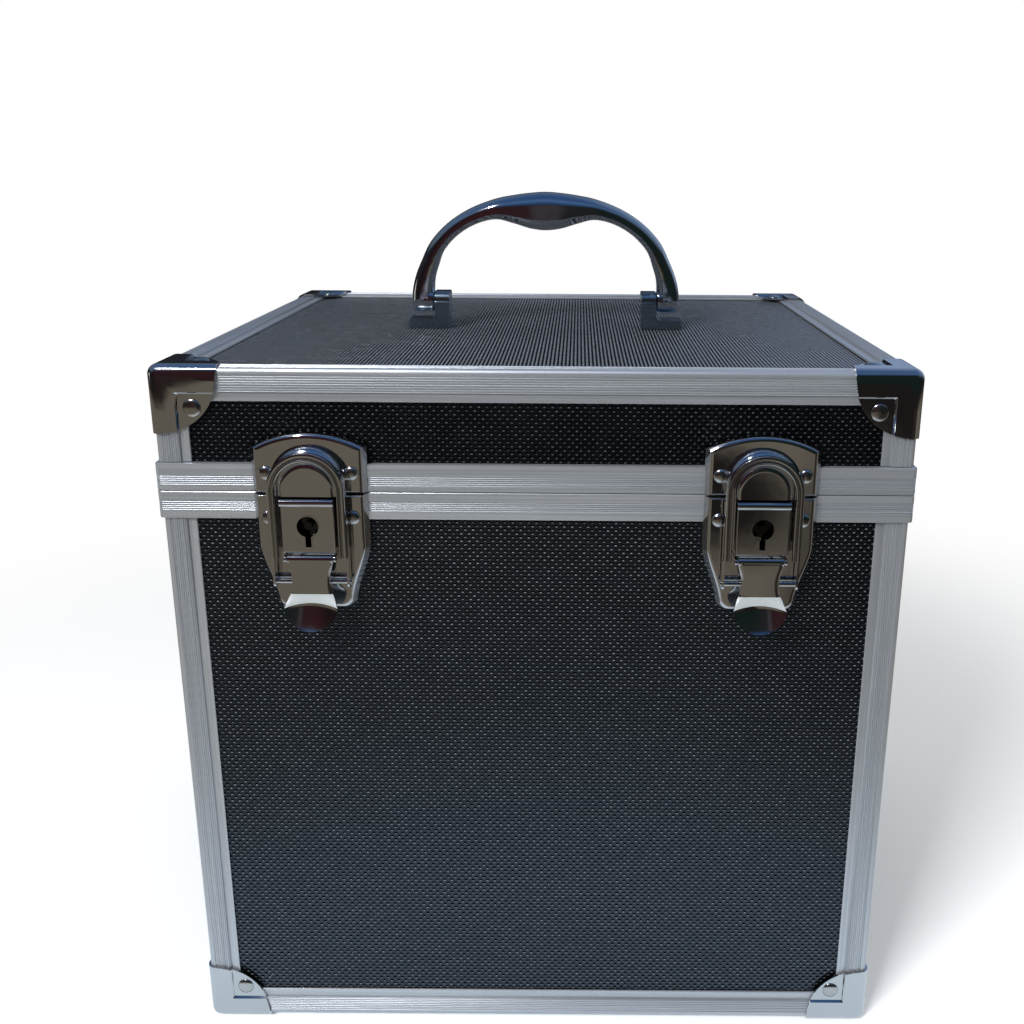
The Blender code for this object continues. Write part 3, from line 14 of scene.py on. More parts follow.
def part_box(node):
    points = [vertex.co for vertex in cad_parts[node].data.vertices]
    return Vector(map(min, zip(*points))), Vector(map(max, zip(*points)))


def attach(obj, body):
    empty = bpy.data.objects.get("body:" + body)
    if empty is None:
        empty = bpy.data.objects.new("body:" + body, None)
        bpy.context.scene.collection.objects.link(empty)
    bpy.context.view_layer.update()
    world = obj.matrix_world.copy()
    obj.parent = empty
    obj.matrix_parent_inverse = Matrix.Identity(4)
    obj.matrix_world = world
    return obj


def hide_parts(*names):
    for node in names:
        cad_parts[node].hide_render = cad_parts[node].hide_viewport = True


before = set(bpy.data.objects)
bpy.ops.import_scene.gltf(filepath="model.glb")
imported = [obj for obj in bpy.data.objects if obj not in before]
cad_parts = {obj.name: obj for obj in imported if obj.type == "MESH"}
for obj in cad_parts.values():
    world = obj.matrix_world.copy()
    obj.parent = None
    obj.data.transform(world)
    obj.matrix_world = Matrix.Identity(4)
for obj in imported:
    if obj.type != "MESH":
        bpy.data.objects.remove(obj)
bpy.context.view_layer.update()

# Body and joints between its pieces, as in the model
LID_GAP = 0.0004
FIT_GAP = 0.0003
PANEL_THICKNESS = 0.005
EDGE_WIDTH = 0.0154
EDGE_THICKNESS = 0.0022
EDGE_LIP_THICKNESS = 0.001
EDGE_ROUND = 0.0027
EDGE_WALL = 0.001
RIM_HEIGHT = 0.013
RIM_WALL = 0.0011
RIM_WEB = 0.0012
RIM_FIN = 0.001
TONGUE_HEIGHT = 0.003
TONGUE_THICKNESS = 0.0012

# Fine profile of the extrusions
EDGE_COVERED_RIBBED_WIDTH = 0.0108
EDGE_OPEN_RIBBED_WIDTH = 0.0110
EDGE_FIRST_GROOVE = 0.0035
UPRIGHT_FIRST_GROOVE = 0.0034
EDGE_GROOVES = 7
UPRIGHT_GROOVES = 8
LAST_GROOVE_MARGIN = 0.0006
GROOVE_WIDTH = 0.00068
GROOVE_DEPTH = 0.00036
SOFT_EDGE = 0.00022
COVERED_REACH = 0.0293
COVERED_TAPER = 0.0006
RIM_GROOVES = 5
RIM_GROOVE_PITCH = 0.00095
RIM_BASE_FIRST_GROOVE = 0.0047
RIM_LID_FIRST_GROOVE = 0.0033
RIM_CORNER_ROUND = 0.0026

# Corner caps
CAP_SIZE = 0.032
CAP_THICKNESS = 0.0012
CAP_EDGE_RADIUS = 0.005
CAP_STEP_WALL = 0.0008
CAP_STEP_SLOPE = 0.0009
CAP_STEP_ROUND = 0.0008
CAP_RIVET_PLACE = 0.0198
CAP_OUTLINE_SHARE = 0.87
CAP_DOME_RADIUS = 0.0042
CAP_DOME_HEIGHT = 0.0015
BOTTOM_DOME_HEIGHT = 0.0006
DOME_RIM_SHARE = 0.12
DOME_START = 8

# Handle and brackets, above the lid's top panel
HANDLE_HALF_SPAN = 0.0774
HANDLE_RISE = 0.061
HANDLE_PIVOT_HEIGHT = 0.0155
HANDLE_LEG_RADIUS = 0.0065
HANDLE_GRIP_HALF_DEPTH = 0.012
HANDLE_LEDGE = 0.0012
HANDLE_PIN_RADIUS = 0.0025
HANDLE_PIN_BITE = 0.007
HANDLE_SIDE_GAP = 0.0004
HANDLE_EYE_SOFT = 0.0012
BRACKET_UPRIGHT_WIDTH = 0.0085
BRACKET_FOOT_LENGTH = 0.0236
BRACKET_FOOT_HEIGHT = 0.005
BRACKET_DEPTH = 0.018
BRACKET_CROWN = 0.0055
BRACKET_ROUND = 0.005
BRACKET_FILLET = 0.0035
BRACKET_CREASE = 0.0004
BRACKET_BEVEL = 0.0006

# Rear hinges
HINGE_INSET = 0.075
HINGE_LENGTH = 0.050
HINGE_LEAF_HEIGHT = 0.0125
HINGE_LEAF_THICKNESS = 0.0015
HINGE_LEAF_ROUND = 0.003
HINGE_KNUCKLE_RADIUS = 0.0033
HINGE_PIN_RADIUS = 0.0015
HINGE_PIN_CLEARANCE = 0.0003
HINGE_KNUCKLES = 5
HINGE_SWEEP_CLEARANCE = 0.0004
HINGE_STOP_REACH = 0.007
HINGE_STOP_THICKNESS = 0.0015
HINGE_RIVET_DROP = 0.0075
HINGE_DOME_RADIUS = 0.0028
HINGE_DOME_HEIGHT = 0.0012

# Latch plates
LATCH_INSET = 0.0705
PLATE_SHEET = 0.0012
PLATE_FRONT = 0.005
PLATE_ROUND = 0.0022
FLANK_DEPTH = 0.0036
FLANK_ROUND = 0.0019
FLANK_SLOPE = math.radians(55)
PLATE_HALF_WIDTH = 0.0266
PLATE_GAP = 0.0004
PLATE_SPLIT_SHARE = 0.5
KEEPER_SHOULDER = 0.022
KEEPER_APEX = 0.0284
KEEPER_RIVET_RISE = 0.010
LOCK_RIVET_DROP = 0.0112
LATCH_RIVET_PLACE = 0.0196
LATCH_DOME_RADIUS = 0.0034
LATCH_DOME_HEIGHT = 0.0019
LOCK_PLATE_STRAIGHT = 0.0255
LOCK_PLATE_LENGTH = 0.0563
LOCK_PLATE_FOOT_HALF_WIDTH = 0.0192
LOCK_PLATE_FOOT_ROUND = 0.0045
HUMP_HALF_WIDTH = 0.0179
HUMP_APEX = 0.0234
HUMP_FRONT = 0.0106
HUMP_SHOULDER = 0.0052
BOSS_HALF_WIDTH = 0.0126
BOSS_APEX = 0.0160
BOSS_FRONT = 0.0114
BOSS_SHOULDER = 0.0026
HOUSING_HALF_WIDTH = 0.0124
HOUSING_BOTTOM = 0.0264
HOUSING_FRONT = 0.0122
HOUSING_ROUND = 0.0008
ROLL_RADIUS = 0.0018
ROLL_OUT = 0.0123
ROLL_SOFT = 0.0004
KEYHOLE_DROP = 0.0136
KEYHOLE_RADIUS = 0.005
KEYHOLE_SLOT_HALF_WIDTH = 0.00135
KEYHOLE_SLOT_END = 0.0234
KEYHOLE_LIP = 0.0005
KEYHOLE_LIP_HEIGHT = 0.0003
LOCK_BORE_RADIUS = 0.0022

# Lever, its axle and ears
PIN_SOFT = 0.0003
AXLE_DROP = 0.0297
AXLE_OUT = 0.011
AXLE_RADIUS = 0.0011
AXLE_CLEARANCE = 0.0003
LEVER_ROLL_RADIUS = 0.0021
LEVER_SHEET = 0.0013
LEVER_TOP_HALF_WIDTH = 0.0106
LEVER_WAIST_HALF_WIDTH = 0.0087
LEVER_WAIST_DROP = 0.0392
LEVER_NECK_HALF_WIDTH = 0.0097
LEVER_TAB_HALF_WIDTH = 0.0124
LEVER_NECK_END = 0.0463
LEVER_TAB_START = 0.0503
LEVER_TIP = 0.0630
LEVER_TAB_OUT = 0.0164
LEVER_TIP_OUT = 0.0190
LEVER_TIP_TURN = math.radians(87)
LEVER_DISH = 0.0024
LEVER_BOW = 0.0019
LEVER_SIDE_ROUND = 0.0016
LEVER_SIDE_FALL = 0.0008
LEVER_SIDE_FADE = 0.004
LEVER_TAB_EASE = 0.55
LEVER_FRONT_FACING = -0.1
LEVER_EAR_INNER = 0.0076
LEVER_EAR_SHEET = 0.0012
LEVER_EAR_RADIUS = 0.0030
LOCK_EAR_INNER = 0.0109
LOCK_EAR_SHEET = 0.0012
LOCK_EAR_RADIUS = 0.0015

# Draw bail
BAIL_HALF_WIDTH = 0.0179
BAIL_INNER_HALF_WIDTH = 0.0139
BAIL_APEX = 0.0216
BAIL_INNER_APEX = 0.0172
BAIL_UNDERSIDE = 0.0122
BAIL_SHOULDER = 0.0130
BAIL_FRONT = 0.0141
BAIL_FLANGE_END = 0.0285
BAIL_SKIRT_BOTTOM = 0.0076
BAIL_SKIRT_SHEET = 0.0012
BAIL_SKIRT_INSET = 0.00015
BAIL_PIN_DROP = 0.0412
BAIL_PIN_OUT = 0.0087
BAIL_PIN_RADIUS = 0.0013
BAIL_PIN_INNER = 0.0070
BAIL_EYE_RADIUS = 0.0031
BAIL_EYE_SPREAD = 10

# Foam lining
LINING_THICKNESS = 0.003
LINING_SWELL = 0.0008
LINING_CORNER = 0.006
LINING_FILLET = LINING_CORNER * 0.4
LINING_BRIM_TURNS = (0.5, 1.0, 1.57, 2.1, 2.6)

# Cuts and soft edges
CUT_OVERRUN = 0.002
FINE_BEVEL = 0.00022
CAP_BEVEL = 0.00014
SHEET_BEVEL = 0.0003
BEVEL_SEGMENTS = 3
FINE_SEGMENTS = 40
ROUND_SEGMENTS = 32
PIN_SEGMENTS = 24
BEVEL_ANGLE = math.radians(32)
SHARP_ANGLE = math.radians(38)

# Places taken from the frame
RIM_PROUD = FIT_GAP + RIM_WALL
rim_low, rim_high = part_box("lid_rim")
CENTRE_Y = (rim_low.y + rim_high.y) / 2
HALF_X = (rim_high.x - rim_low.x) / 2 - RIM_PROUD
HALF_Y = (rim_high.y - rim_low.y) / 2 - RIM_PROUD
SPLIT = rim_low.z - LID_GAP / 2
CAP_PROUD = FIT_GAP + CAP_THICKNESS
BODY_BOTTOM = CAP_PROUD

# Sizes that follow from the ones above
CAP_STEP = EDGE_THICKNESS - EDGE_LIP_THICKNESS
CAP_WALL_PLACE = CAP_PROUD + EDGE_COVERED_RIBBED_WIDTH + FIT_GAP
CAP_STEP_PLACE = CAP_WALL_PLACE + CAP_STEP_WALL
CORNER_NOTCH = CAP_EDGE_RADIUS - CAP_THICKNESS - FIT_GAP
PANEL_INSET = EDGE_THICKNESS + FIT_GAP
FIN_INSET = PANEL_INSET + PANEL_THICKNESS + FIT_GAP
FIN_END = FIN_INSET + EDGE_WALL
RIM_FIN_END = FIN_INSET + RIM_FIN
TONGUE_INSET = RIM_FIN_END + FIT_GAP
TONGUE_END = TONGUE_INSET + TONGUE_THICKNESS
BASE_RIM_TOP = SPLIT - LID_GAP / 2
LID_RIM_BOTTOM = SPLIT + LID_GAP / 2
TOP_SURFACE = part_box("lid_top_panel")[1].z
BODY_TOP = TOP_SURFACE + PANEL_INSET
HANDLE_PIVOT = TOP_SURFACE + HANDLE_PIVOT_HEIGHT
LATCH_PLACE = HALF_X - LATCH_INSET
HINGE_PLACE = HALF_X - HINGE_INSET
HINGE_LEAF_INNER = RIM_PROUD + FIT_GAP
HINGE_LEAF_OUTER = HINGE_LEAF_INNER + HINGE_LEAF_THICKNESS
HINGE_AXIS_OUT = HINGE_LEAF_INNER + FIT_GAP + HINGE_KNUCKLE_RADIUS
PLATE_BACK = FIT_GAP - PANEL_INSET
PLATE_INNER = PLATE_FRONT - PLATE_SHEET
PLATE_MIDDLE = (PLATE_INNER + PLATE_FRONT) / 2
LEVER_FRONT = AXLE_OUT + LEVER_ROLL_RADIUS

# Handle stations as shares of the half span and rise: outer x, outer z, inner x, inner z, half depth
HANDLE_LEG_INNER_SHARE = 0.829
HANDLE_STATION_SHARES = (
    (1.000, 0.000, HANDLE_LEG_INNER_SHARE, 0.000, 0.54),
    (0.994, 0.100, HANDLE_LEG_INNER_SHARE, 0.100, 0.54),
    (0.968, 0.230, 0.821, 0.215, 0.56),
    (0.921, 0.370, 0.793, 0.330, 0.60),
    (0.846, 0.550, 0.749, 0.467, 0.66),
    (0.717, 0.718, 0.646, 0.605, 0.74),
    (0.556, 0.846, 0.510, 0.705, 0.83),
    (0.375, 0.933, 0.364, 0.748, 0.92),
    (0.233, 0.970, 0.233, 0.712, 0.97),
    (0.116, 0.990, 0.116, 0.668, 1.00),
    (0.000, 1.000, 0.000, 0.651, 1.00),
)
HANDLE_LEDGE_SHARE = 0.72
HANDLE_LEDGE_ROUND = ((0.05, 0.12), (0.09, 0.45), (0.10, 0.9))
HANDLE_LOWER_START = 8
HANDLE_END_TURNS = (15, 30, 45, 60, 72, 82)
HANDLE_SUBSTEPS = 6
HANDLE_FULLNESS = 0.78
HANDLE_EYE_SHARE = 0.55
HANDLE_END_TAPER = 0.2
HANDLE_LEG_INNER = HANDLE_LEG_INNER_SHARE * HANDLE_HALF_SPAN
BRACKET_INNER = HANDLE_LEG_INNER - HANDLE_SIDE_GAP - BRACKET_UPRIGHT_WIDTH

# Section of the bail's bow from its inner edge to its outer one: share across, share of the front's rise
BAIL_SECTION_SHARES = (
    (0.00, 0.00), (0.00, 0.42), (0.03, 0.72), (0.09, 0.93), (0.17, 1.00), (0.25, 0.93), (0.31, 0.70),
    (0.35, 0.45), (0.40, 0.36), (0.45, 0.45), (0.49, 0.72), (0.56, 0.93), (0.66, 1.00), (0.82, 0.98),
    (0.92, 0.86), (0.98, 0.62), (1.00, 0.35), (1.00, 0.00),
)

# Sides and corners. A round corner has the angle where its arc starts. UPWARD leads away from the split.
UPWARD = {"base": -1, "lid": 1}
SIDES = ("front", "back", "left", "right")
CORNERS = {"front_left": (-1, -1), "front_right": (1, -1), "back_left": (-1, 1), "back_right": (1, 1)}
ROUND_CORNERS = ((180, (-1, -1)), (270, (1, -1)), (0, (1, 1)), (90, (-1, 1)))
LATCHES = {"left": -LATCH_PLACE, "right": LATCH_PLACE}
HINGES = {"left": -HINGE_PLACE, "right": HINGE_PLACE}

# Camera, as found from the photograph
CAMERA_PLACE = (0.01886, -0.66440, 0.44209)
CAMERA_TURN = (-0.2968, -0.0067, 0.0021)
CAMERA_LENS = 39.89
CAMERA_SHIFT = -0.06305


# Outlines


def arc_points(centre, radius, start, end, segments):
    """Points on a circle, from the start angle to the end angle in degrees."""
    points = []
    for step in range(segments + 1):
        angle = math.radians(start + (end - start) * step / segments)
        points.append((centre[0] + radius * math.cos(angle), centre[1] + radius * math.sin(angle)))
    return points


def circle_points(centre, radius, segments):
    return arc_points(centre, radius, 0, 360, segments)[:-1]


def box_points(low, high):
    return [(low[0], low[1]), (high[0], low[1]), (high[0], high[1]), (low[0], high[1])]


def eased(share):
    """A share from 0 to 1 that starts and ends gently."""
    return share * share * (3 - 2 * share)


def softened(points, radius, segments, least_turn=25, most_share=0.45):
    """Round a closed outline's corners, except slight turns, within a share of each side."""
    result = []
    count = len(points)
    for index in range(count):
        here = Vector(points[index])
        to_before = Vector(points[index - 1]) - here
        to_after = Vector(points[(index + 1) % count]) - here
        turn = math.pi - to_before.angle(to_after)
        if turn < math.radians(least_turn):
            result.append(tuple(here))
            continue
        room = min(to_before.length, to_after.length) * most_share
        reach = min(radius * math.tan(turn / 2), room)
        start = here + to_before.normalized() * reach
        end = here + to_after.normalized() * reach
        for step in range(segments + 1):
            share = step / segments
            point = start.lerp(here, share).lerp(here.lerp(end, share), share)
            result.append(tuple(point))
    return result


# Solids


def close_end(solid, rows):
    """Close one end of a solid. The first row of points is its outline, the others are holes."""
    if len(rows) == 1:
        return [solid.faces.new(rows[0])]
    points = [vert.co for row in rows for vert in row]
    spans = []
    for axis in range(3):
        values = [point[axis] for point in points]
        spans.append(max(values) - min(values))
    kept = [axis for axis in range(3) if axis != spans.index(min(spans))]
    flat = [[Vector((vert.co[kept[0]], vert.co[kept[1]], 0)) for vert in row] for row in rows]
    verts = [vert for row in rows for vert in row]
    return [solid.faces.new([verts[index] for index in triangle]) for triangle in tessellate_polygon(flat)]


def add_stack(solid, levels):
    """Add one closed solid through levels of loops of 3-D points. The first loop is the outline."""
    rows = [[[solid.verts.new(point) for point in loop] for loop in level] for level in levels]
    faces = close_end(solid, rows[0]) + close_end(solid, rows[-1])
    for below, above in zip(rows, rows[1:]):
        for loop_below, loop_above in zip(below, above):
            count = len(loop_below)
            for index in range(count):
                after = (index + 1) % count
                corners = (loop_below[index], loop_below[after], loop_above[after], loop_above[index])
                faces.append(solid.faces.new(corners))
    bmesh.ops.recalc_face_normals(solid, faces=faces)


def add_prism(solid, loops, low, high):
    """Add a prism: low and high place each 2-D point of the loops at its two ends."""
    add_stack(solid, [[[place(*point) for point in loop] for loop in loops] for place in (low, high)])


def add_turned(solid, profile, base, axis, segments):
    """Add a turned solid. The profile holds (radius, height) from one pole to the other."""
    turn = Vector((0, 0, 1)).rotation_difference(Vector(axis)).to_matrix()
    place = Vector(base)
    rings = []
    for radius, height in profile:
        if radius == 0:
            rings.append([solid.verts.new(place + turn @ Vector((0, 0, height)))])
            continue
        ring = []
        for x, y in circle_points((0, 0), radius, segments):
            ring.append(solid.verts.new(place + turn @ Vector((x, y, height))))
        rings.append(ring)
    faces = []
    for below, above in zip(rings, rings[1:]):
        for index in range(segments):
            after = (index + 1) % segments
            if len(below) == 1:
                corners = (below[0], above[after], above[index])
            elif len(above) == 1:
                corners = (below[index], below[after], above[0])
            else:
                corners = (below[index], below[after], above[after], above[index])
            faces.append(solid.faces.new(corners))
    bmesh.ops.recalc_face_normals(solid, faces=faces)


def add_cylinder(solid, base, axis, radius, length, segments=ROUND_SEGMENTS, soft=0.0):
    """Add a cylinder whose two rims may be rounded."""
    profile = [(0, 0)]
    if soft:
        profile += [(radius - soft + x, soft - y) for x, y in arc_points((0, 0), soft, 90, 0, 3)]
        profile += [(radius - soft + x, length - soft + y) for x, y in arc_points((0, 0), soft, 0, 90, 3)]
    else:
        profile += [(radius, 0), (radius, length)]
    profile.append((0, length))
    add_turned(solid, profile, base, axis, segments)


def add_box(solid, low, high):
    loops = [box_points(low[:2], high[:2])]
    add_prism(solid, loops, lambda x, y: (x, y, low[2]), lambda x, y: (x, y, high[2]))


def temporary_object(solid):
    mesh = bpy.data.meshes.new("temporary")
    solid.to_mesh(mesh)
    solid.free()
    temporary = bpy.data.objects.new("temporary", mesh)
    bpy.context.scene.collection.objects.link(temporary)
    return temporary


def boolean(solid, tool, operation):
    """Combine two meshes exactly and return the result. Both inputs are used up."""
    target = temporary_object(solid)
    cutter = temporary_object(tool)
    modifier = target.modifiers.new("combine", "BOOLEAN")
    modifier.operation = operation
    modifier.solver = "EXACT"
    modifier.object = cutter
    evaluated = target.evaluated_get(bpy.context.evaluated_depsgraph_get())
    result = bmesh.new()
    result.from_mesh(evaluated.to_mesh())
    evaluated.to_mesh_clear()
    for used in (target, cutter):
        mesh = used.data
        bpy.data.objects.remove(used, do_unlink=True)
        bpy.data.meshes.remove(mesh)
    return result


def made(add, *values):
    """A new mesh that holds what one adding function makes."""
    solid = bmesh.new()
    add(solid, *values)
    return solid


def joined(solid, add, *values):
    """The solid with what one adding function makes joined to it."""
    return boolean(solid, made(add, *values), "UNION")


def cut(solid, add, *values):
    """The solid with what one adding function makes cut out of it."""
    return boolean(solid, made(add, *values), "DIFFERENCE")


def make_piece(name, solid, material, body, nodes=(), bevel=0.0, crisp=False):
    """Turn a mesh into a piece that rides on a body, wears the given finish and hides the nodes it stands
    for.
    """
    mesh = bpy.data.meshes.new(name)
    solid.to_mesh(mesh)
    solid.free()
    mesh.shade_smooth()
    finishes = material if isinstance(material, (list, tuple)) else [material]
    for finish in finishes:
        mesh.materials.append(finish)
    piece = bpy.data.objects.new(name, mesh)
    bpy.context.scene.collection.objects.link(piece)
    if bevel:
        rounding = piece.modifiers.new("rounding", "BEVEL")
        rounding.width = bevel
        rounding.segments = BEVEL_SEGMENTS
        rounding.limit_method = "ANGLE"
        rounding.angle_limit = BEVEL_ANGLE
        rounding.harden_normals = crisp
        if not crisp:
            weighted = piece.modifiers.new("shading", "WEIGHTED_NORMAL")
            weighted.keep_sharp = False
    else:
        mesh.set_sharp_from_angle(angle=SHARP_ANGLE)
    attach(piece, body)
    if nodes:
        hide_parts(*nodes)
    return piece


# Materials


class Graph:
    """A material's nodes, added and linked by short calls."""

    def __init__(self, name):
        self.material = bpy.data.materials.new(name)
        self.material.use_nodes = True
        self.tree = self.material.node_tree
        self.shader = self.tree.nodes["Principled BSDF"]

    def add(self, kind, inputs=(), **settings):
        node = self.tree.nodes.new(kind)
        for key, value in settings.items():
            setattr(node, key, value)
        for key, value in dict(inputs).items():
            self.feed(node.inputs[key], value)
        return node

    def feed(self, socket, value):
        if isinstance(value, bpy.types.NodeSocket):
            self.tree.links.new(value, socket)
        else:
            socket.default_value = value

    def math(self, operation, *values, clamp=False):
        node = self.add("ShaderNodeMath", operation=operation, use_clamp=clamp)
        for socket, value in zip(node.inputs, values):
            self.feed(socket, value)
        return node.outputs[0]

    def smooth_step(self, value, low, high, low_result=0.0, high_result=1.0):
        node = self.add("ShaderNodeMapRange", interpolation_type="SMOOTHSTEP")
        for socket, given in zip(node.inputs, (value, low, high, low_result, high_result)):
            self.feed(socket, given)
        return node.outputs[0]

    def length(self, first, second):
        squares = [self.math("MULTIPLY", part, part) for part in (first, second)]
        return self.math("SQRT", self.math("ADD", *squares))

    def place(self):
        """The surface point in the piece's own frame, as a vector and its three parts."""
        point = self.add("ShaderNodeTexCoord").outputs["Object"]
        parts = self.add("ShaderNodeSeparateXYZ", {"Vector": point})
        return point, parts.outputs

    def noise(self, point, scale, detail=3.0, stretch=(1, 1, 1)):
        mapped = self.add("ShaderNodeMapping", {"Vector": point, "Scale": stretch})
        node = self.add("ShaderNodeTexNoise", {"Vector": mapped.outputs[0], "Scale": scale, "Detail": detail})
        return node.outputs[0]

    def mix(self, share, first, second):
        node = self.add("ShaderNodeMix", data_type="RGBA")
        self.feed(node.inputs[0], share)
        self.feed(node.inputs[6], (*first, 1) if isinstance(first, tuple) else first)
        self.feed(node.inputs[7], (*second, 1) if isinstance(second, tuple) else second)
        return node.outputs[2]

    def bump(self, height, distance, strength=1.0, normal=None):
        node = self.add("ShaderNodeBump", {"Height": height, "Distance": distance, "Strength": strength})
        if normal is not None:
            self.feed(node.inputs["Normal"], normal)
        return node.outputs[0]

    def finish(self, **inputs):
        for key, value in inputs.items():
            self.feed(self.shader.inputs[key.replace("_", " ")], value)
        return self.material


# Laminate. Radii of a pit and of the painted highlight spot beside it, and how far the spot is shifted, are
# in metres across and up. A finish is the painted highlight's colour, the shine, and the least strength of a
# painted highlight.
LAMINATE_PITCH = 0.00375
LAMINATE_ROW = 0.00185
LAMINATE_PIT_DEPTH = 0.00030
LAMINATE_WALL_PITS = ((0.00095, 0.00066), (0.00078, 0.00042), (0.0, 0.00078))
LAMINATE_TOP_PITS = ((0.00062, 0.00130), (0.00070, 0.00380), (LAMINATE_PITCH / 4, 0.0))
# The painted highlight is dimmer on the lid walls than on the base walls; on the top panel the painted
# highlights join into pale stripes.
LAMINATE_WALL_GLINT_PAINT_AND_SHINE = {
    "base": ((0.15, 0.156, 0.17), 0.85, 0.35),
    "lid": ((0.06, 0.062, 0.068), 0.30, 0.35),
}
LAMINATE_TOP_GLINT_PAINT_AND_SHINE = ((0.15, 0.165, 0.195), 0.26, 0.85)
# Blue tint of the laminate's reflections: a painted reflection colour
LAMINATE_PAINTED_REFLECTION_TINT = (0.62, 0.78, 1.0, 1.0)
LAMINATE_FACE = ((0.0010, 0.0010, 0.0012), (0.0020, 0.0020, 0.0023))
# Colour inside the pits: painted shade
LAMINATE_PAINTED_PIT_SHADE = (0.0008, 0.0008, 0.0008)

# Colours of the other materials
ALUMINIUM_STREAKS = ((0.43, 0.455, 0.49), (0.58, 0.605, 0.64))
ALUMINIUM_CLOUD = (0.47, 0.50, 0.54)
STEEL_SPOTS = ((0.36, 0.37, 0.38), (0.55, 0.56, 0.57))
FOAM_CELLS = ((0.012, 0.012, 0.013), (0.045, 0.045, 0.048))
FOAM_CLOUD = (0.030, 0.030, 0.032)


def lattice(graph, first, second, reach):
    """Distance from the nearest pit's middle, where 1 is its rim. The pits are staggered."""
    directions = (
        (first, LAMINATE_PITCH, reach[0]),
        (second, LAMINATE_ROW * 2, reach[1]),
    )
    distances = []
    for shift in (0.0, 0.5):
        offsets = []
        for place, period, radius in directions:
            turns = graph.math("MULTIPLY_ADD", place, 1 / period, shift)
            offset = graph.math("SUBTRACT", graph.math("FRACT", turns), 0.5)
            offsets.append(graph.math("MULTIPLY", offset, period / radius))
        distances.append(graph.length(*offsets))
    return graph.math("MINIMUM", *distances)


def laminate(name, across, up, pits, finish):
    """Black laminate with staggered oval pits in painted shade, and a painted highlight beside each pit.
    across and up are axes, 0 to 2.
    """
    pit, glint, shift = pits
    light, gloss, least_painted_glint = finish
    graph = Graph(name)
    point, parts = graph.place()
    nearest = lattice(graph, parts[across], parts[up], pit)
    shifted = [graph.math("ADD", parts[axis], far) for axis, far in zip((across, up), shift)]
    # Mask of the painted highlight beside each pit
    rim = graph.smooth_step(lattice(graph, *shifted, glint), 0.35, 1.0, 1.0, 0.0)
    solid = graph.smooth_step(nearest, 0.7, 1.05)
    wear = graph.noise(point, scale=60, detail=4)
    grain = graph.noise(point, scale=2600, detail=2)
    face = graph.mix(graph.smooth_step(wear, 0.35, 0.7), *LAMINATE_FACE)
    # Inside the pits the colour is darker: painted shade
    colour = graph.mix(solid, LAMINATE_PAINTED_PIT_SHADE, face)
    # The painted highlight varies at random in strength from spot to spot and is mixed into the colour
    spread = graph.smooth_step(graph.noise(point, scale=420, detail=2), 0.35, 0.7, least_painted_glint, 1.0)
    colour = graph.mix(graph.math("MULTIPLY", rim, spread), colour, light)
    # The shine is cut inside the pits: painted shade of their reflections
    shine = graph.math("MULTIPLY_ADD", solid, gloss, 0.01)
    roughness = graph.math("MULTIPLY_ADD", wear, 0.10, 0.22)
    fine = graph.bump(grain, distance=0.00002, strength=0.5)
    hollow = graph.smooth_step(nearest, 0.3, 1.2)
    normal = graph.bump(hollow, distance=LAMINATE_PIT_DEPTH, normal=fine)
    return graph.finish(
        Base_Color=colour,
        Roughness=roughness,
        Specular_IOR_Level=shine,
        Specular_Tint=LAMINATE_PAINTED_REFLECTION_TINT,
        Normal=normal,
    )


def aluminium(name, along):
    """Anodised extrusion with draw streaks along one axis, 0 to 2."""
    graph = Graph(name)
    point, _ = graph.place()
    stretch = [900.0, 900.0, 900.0]
    stretch[along] = 6.0
    streaks = graph.noise(point, scale=1.0, detail=4, stretch=stretch)
    clouds = graph.noise(point, scale=22, detail=3)
    colour = graph.mix(graph.smooth_step(streaks, 0.3, 0.75), *ALUMINIUM_STREAKS)
    colour = graph.mix(graph.smooth_step(clouds, 0.4, 0.8, 0.0, 0.5), colour, ALUMINIUM_CLOUD)
    roughness = graph.math("MULTIPLY_ADD", streaks, 0.16, 0.30)
    normal = graph.bump(streaks, distance=0.00003, strength=0.6)
    return graph.finish(Base_Color=colour, Metallic=0.79, Roughness=roughness, Normal=normal)


def chrome(name, colour, least_roughness, metallic=1.0):
    """Bright plating with faint smudges and a slightly wavy surface."""
    graph = Graph(name)
    point, _ = graph.place()
    smudge = graph.smooth_step(graph.noise(point, scale=45, detail=5), 0.48, 0.78)
    roughness = graph.math("MULTIPLY_ADD", smudge, 0.10, least_roughness)
    darker = tuple(part * 0.88 for part in colour)
    shade = graph.mix(graph.noise(point, scale=30, detail=2), colour, darker)
    waves = graph.noise(point, scale=160, detail=1)
    normal = graph.bump(waves, distance=0.00005, strength=0.35)
    return graph.finish(Base_Color=shade, Metallic=metallic, Roughness=roughness, Normal=normal)


def steel(name):
    """Dull zinc plated steel."""
    graph = Graph(name)
    point, _ = graph.place()
    spots = graph.noise(point, scale=420, detail=4)
    colour = graph.mix(spots, *STEEL_SPOTS)
    roughness = graph.math("MULTIPLY_ADD", spots, 0.25, 0.25)
    normal = graph.bump(spots, distance=0.00004, strength=0.4)
    return graph.finish(Base_Color=colour, Metallic=1.0, Roughness=roughness, Normal=normal)


def foam(name):
    """Dark closed-cell foam with fine pores."""
    graph = Graph(name)
    point, _ = graph.place()
    cells = graph.add("ShaderNodeTexVoronoi", {"Vector": point, "Scale": 1100.0}).outputs["Distance"]
    colour = graph.mix(cells, *FOAM_CELLS)
    colour = graph.mix(graph.noise(point, scale=18, detail=4), colour, FOAM_CLOUD)
    normal = graph.bump(cells, distance=0.00025, strength=0.8)
    return graph.finish(Base_Color=colour, Roughness=0.92, Sheen_Weight=0.25, Normal=normal)


def wall_laminates(body):
    """The laminates of one body's walls, for walls that run along x and along y."""
    finish = LAMINATE_WALL_GLINT_PAINT_AND_SHINE[body]
    names = (f"{body}_laminate_x", f"{body}_laminate_y")
    return [laminate(name, axis, 2, LAMINATE_WALL_PITS, finish) for axis, name in enumerate(names)]


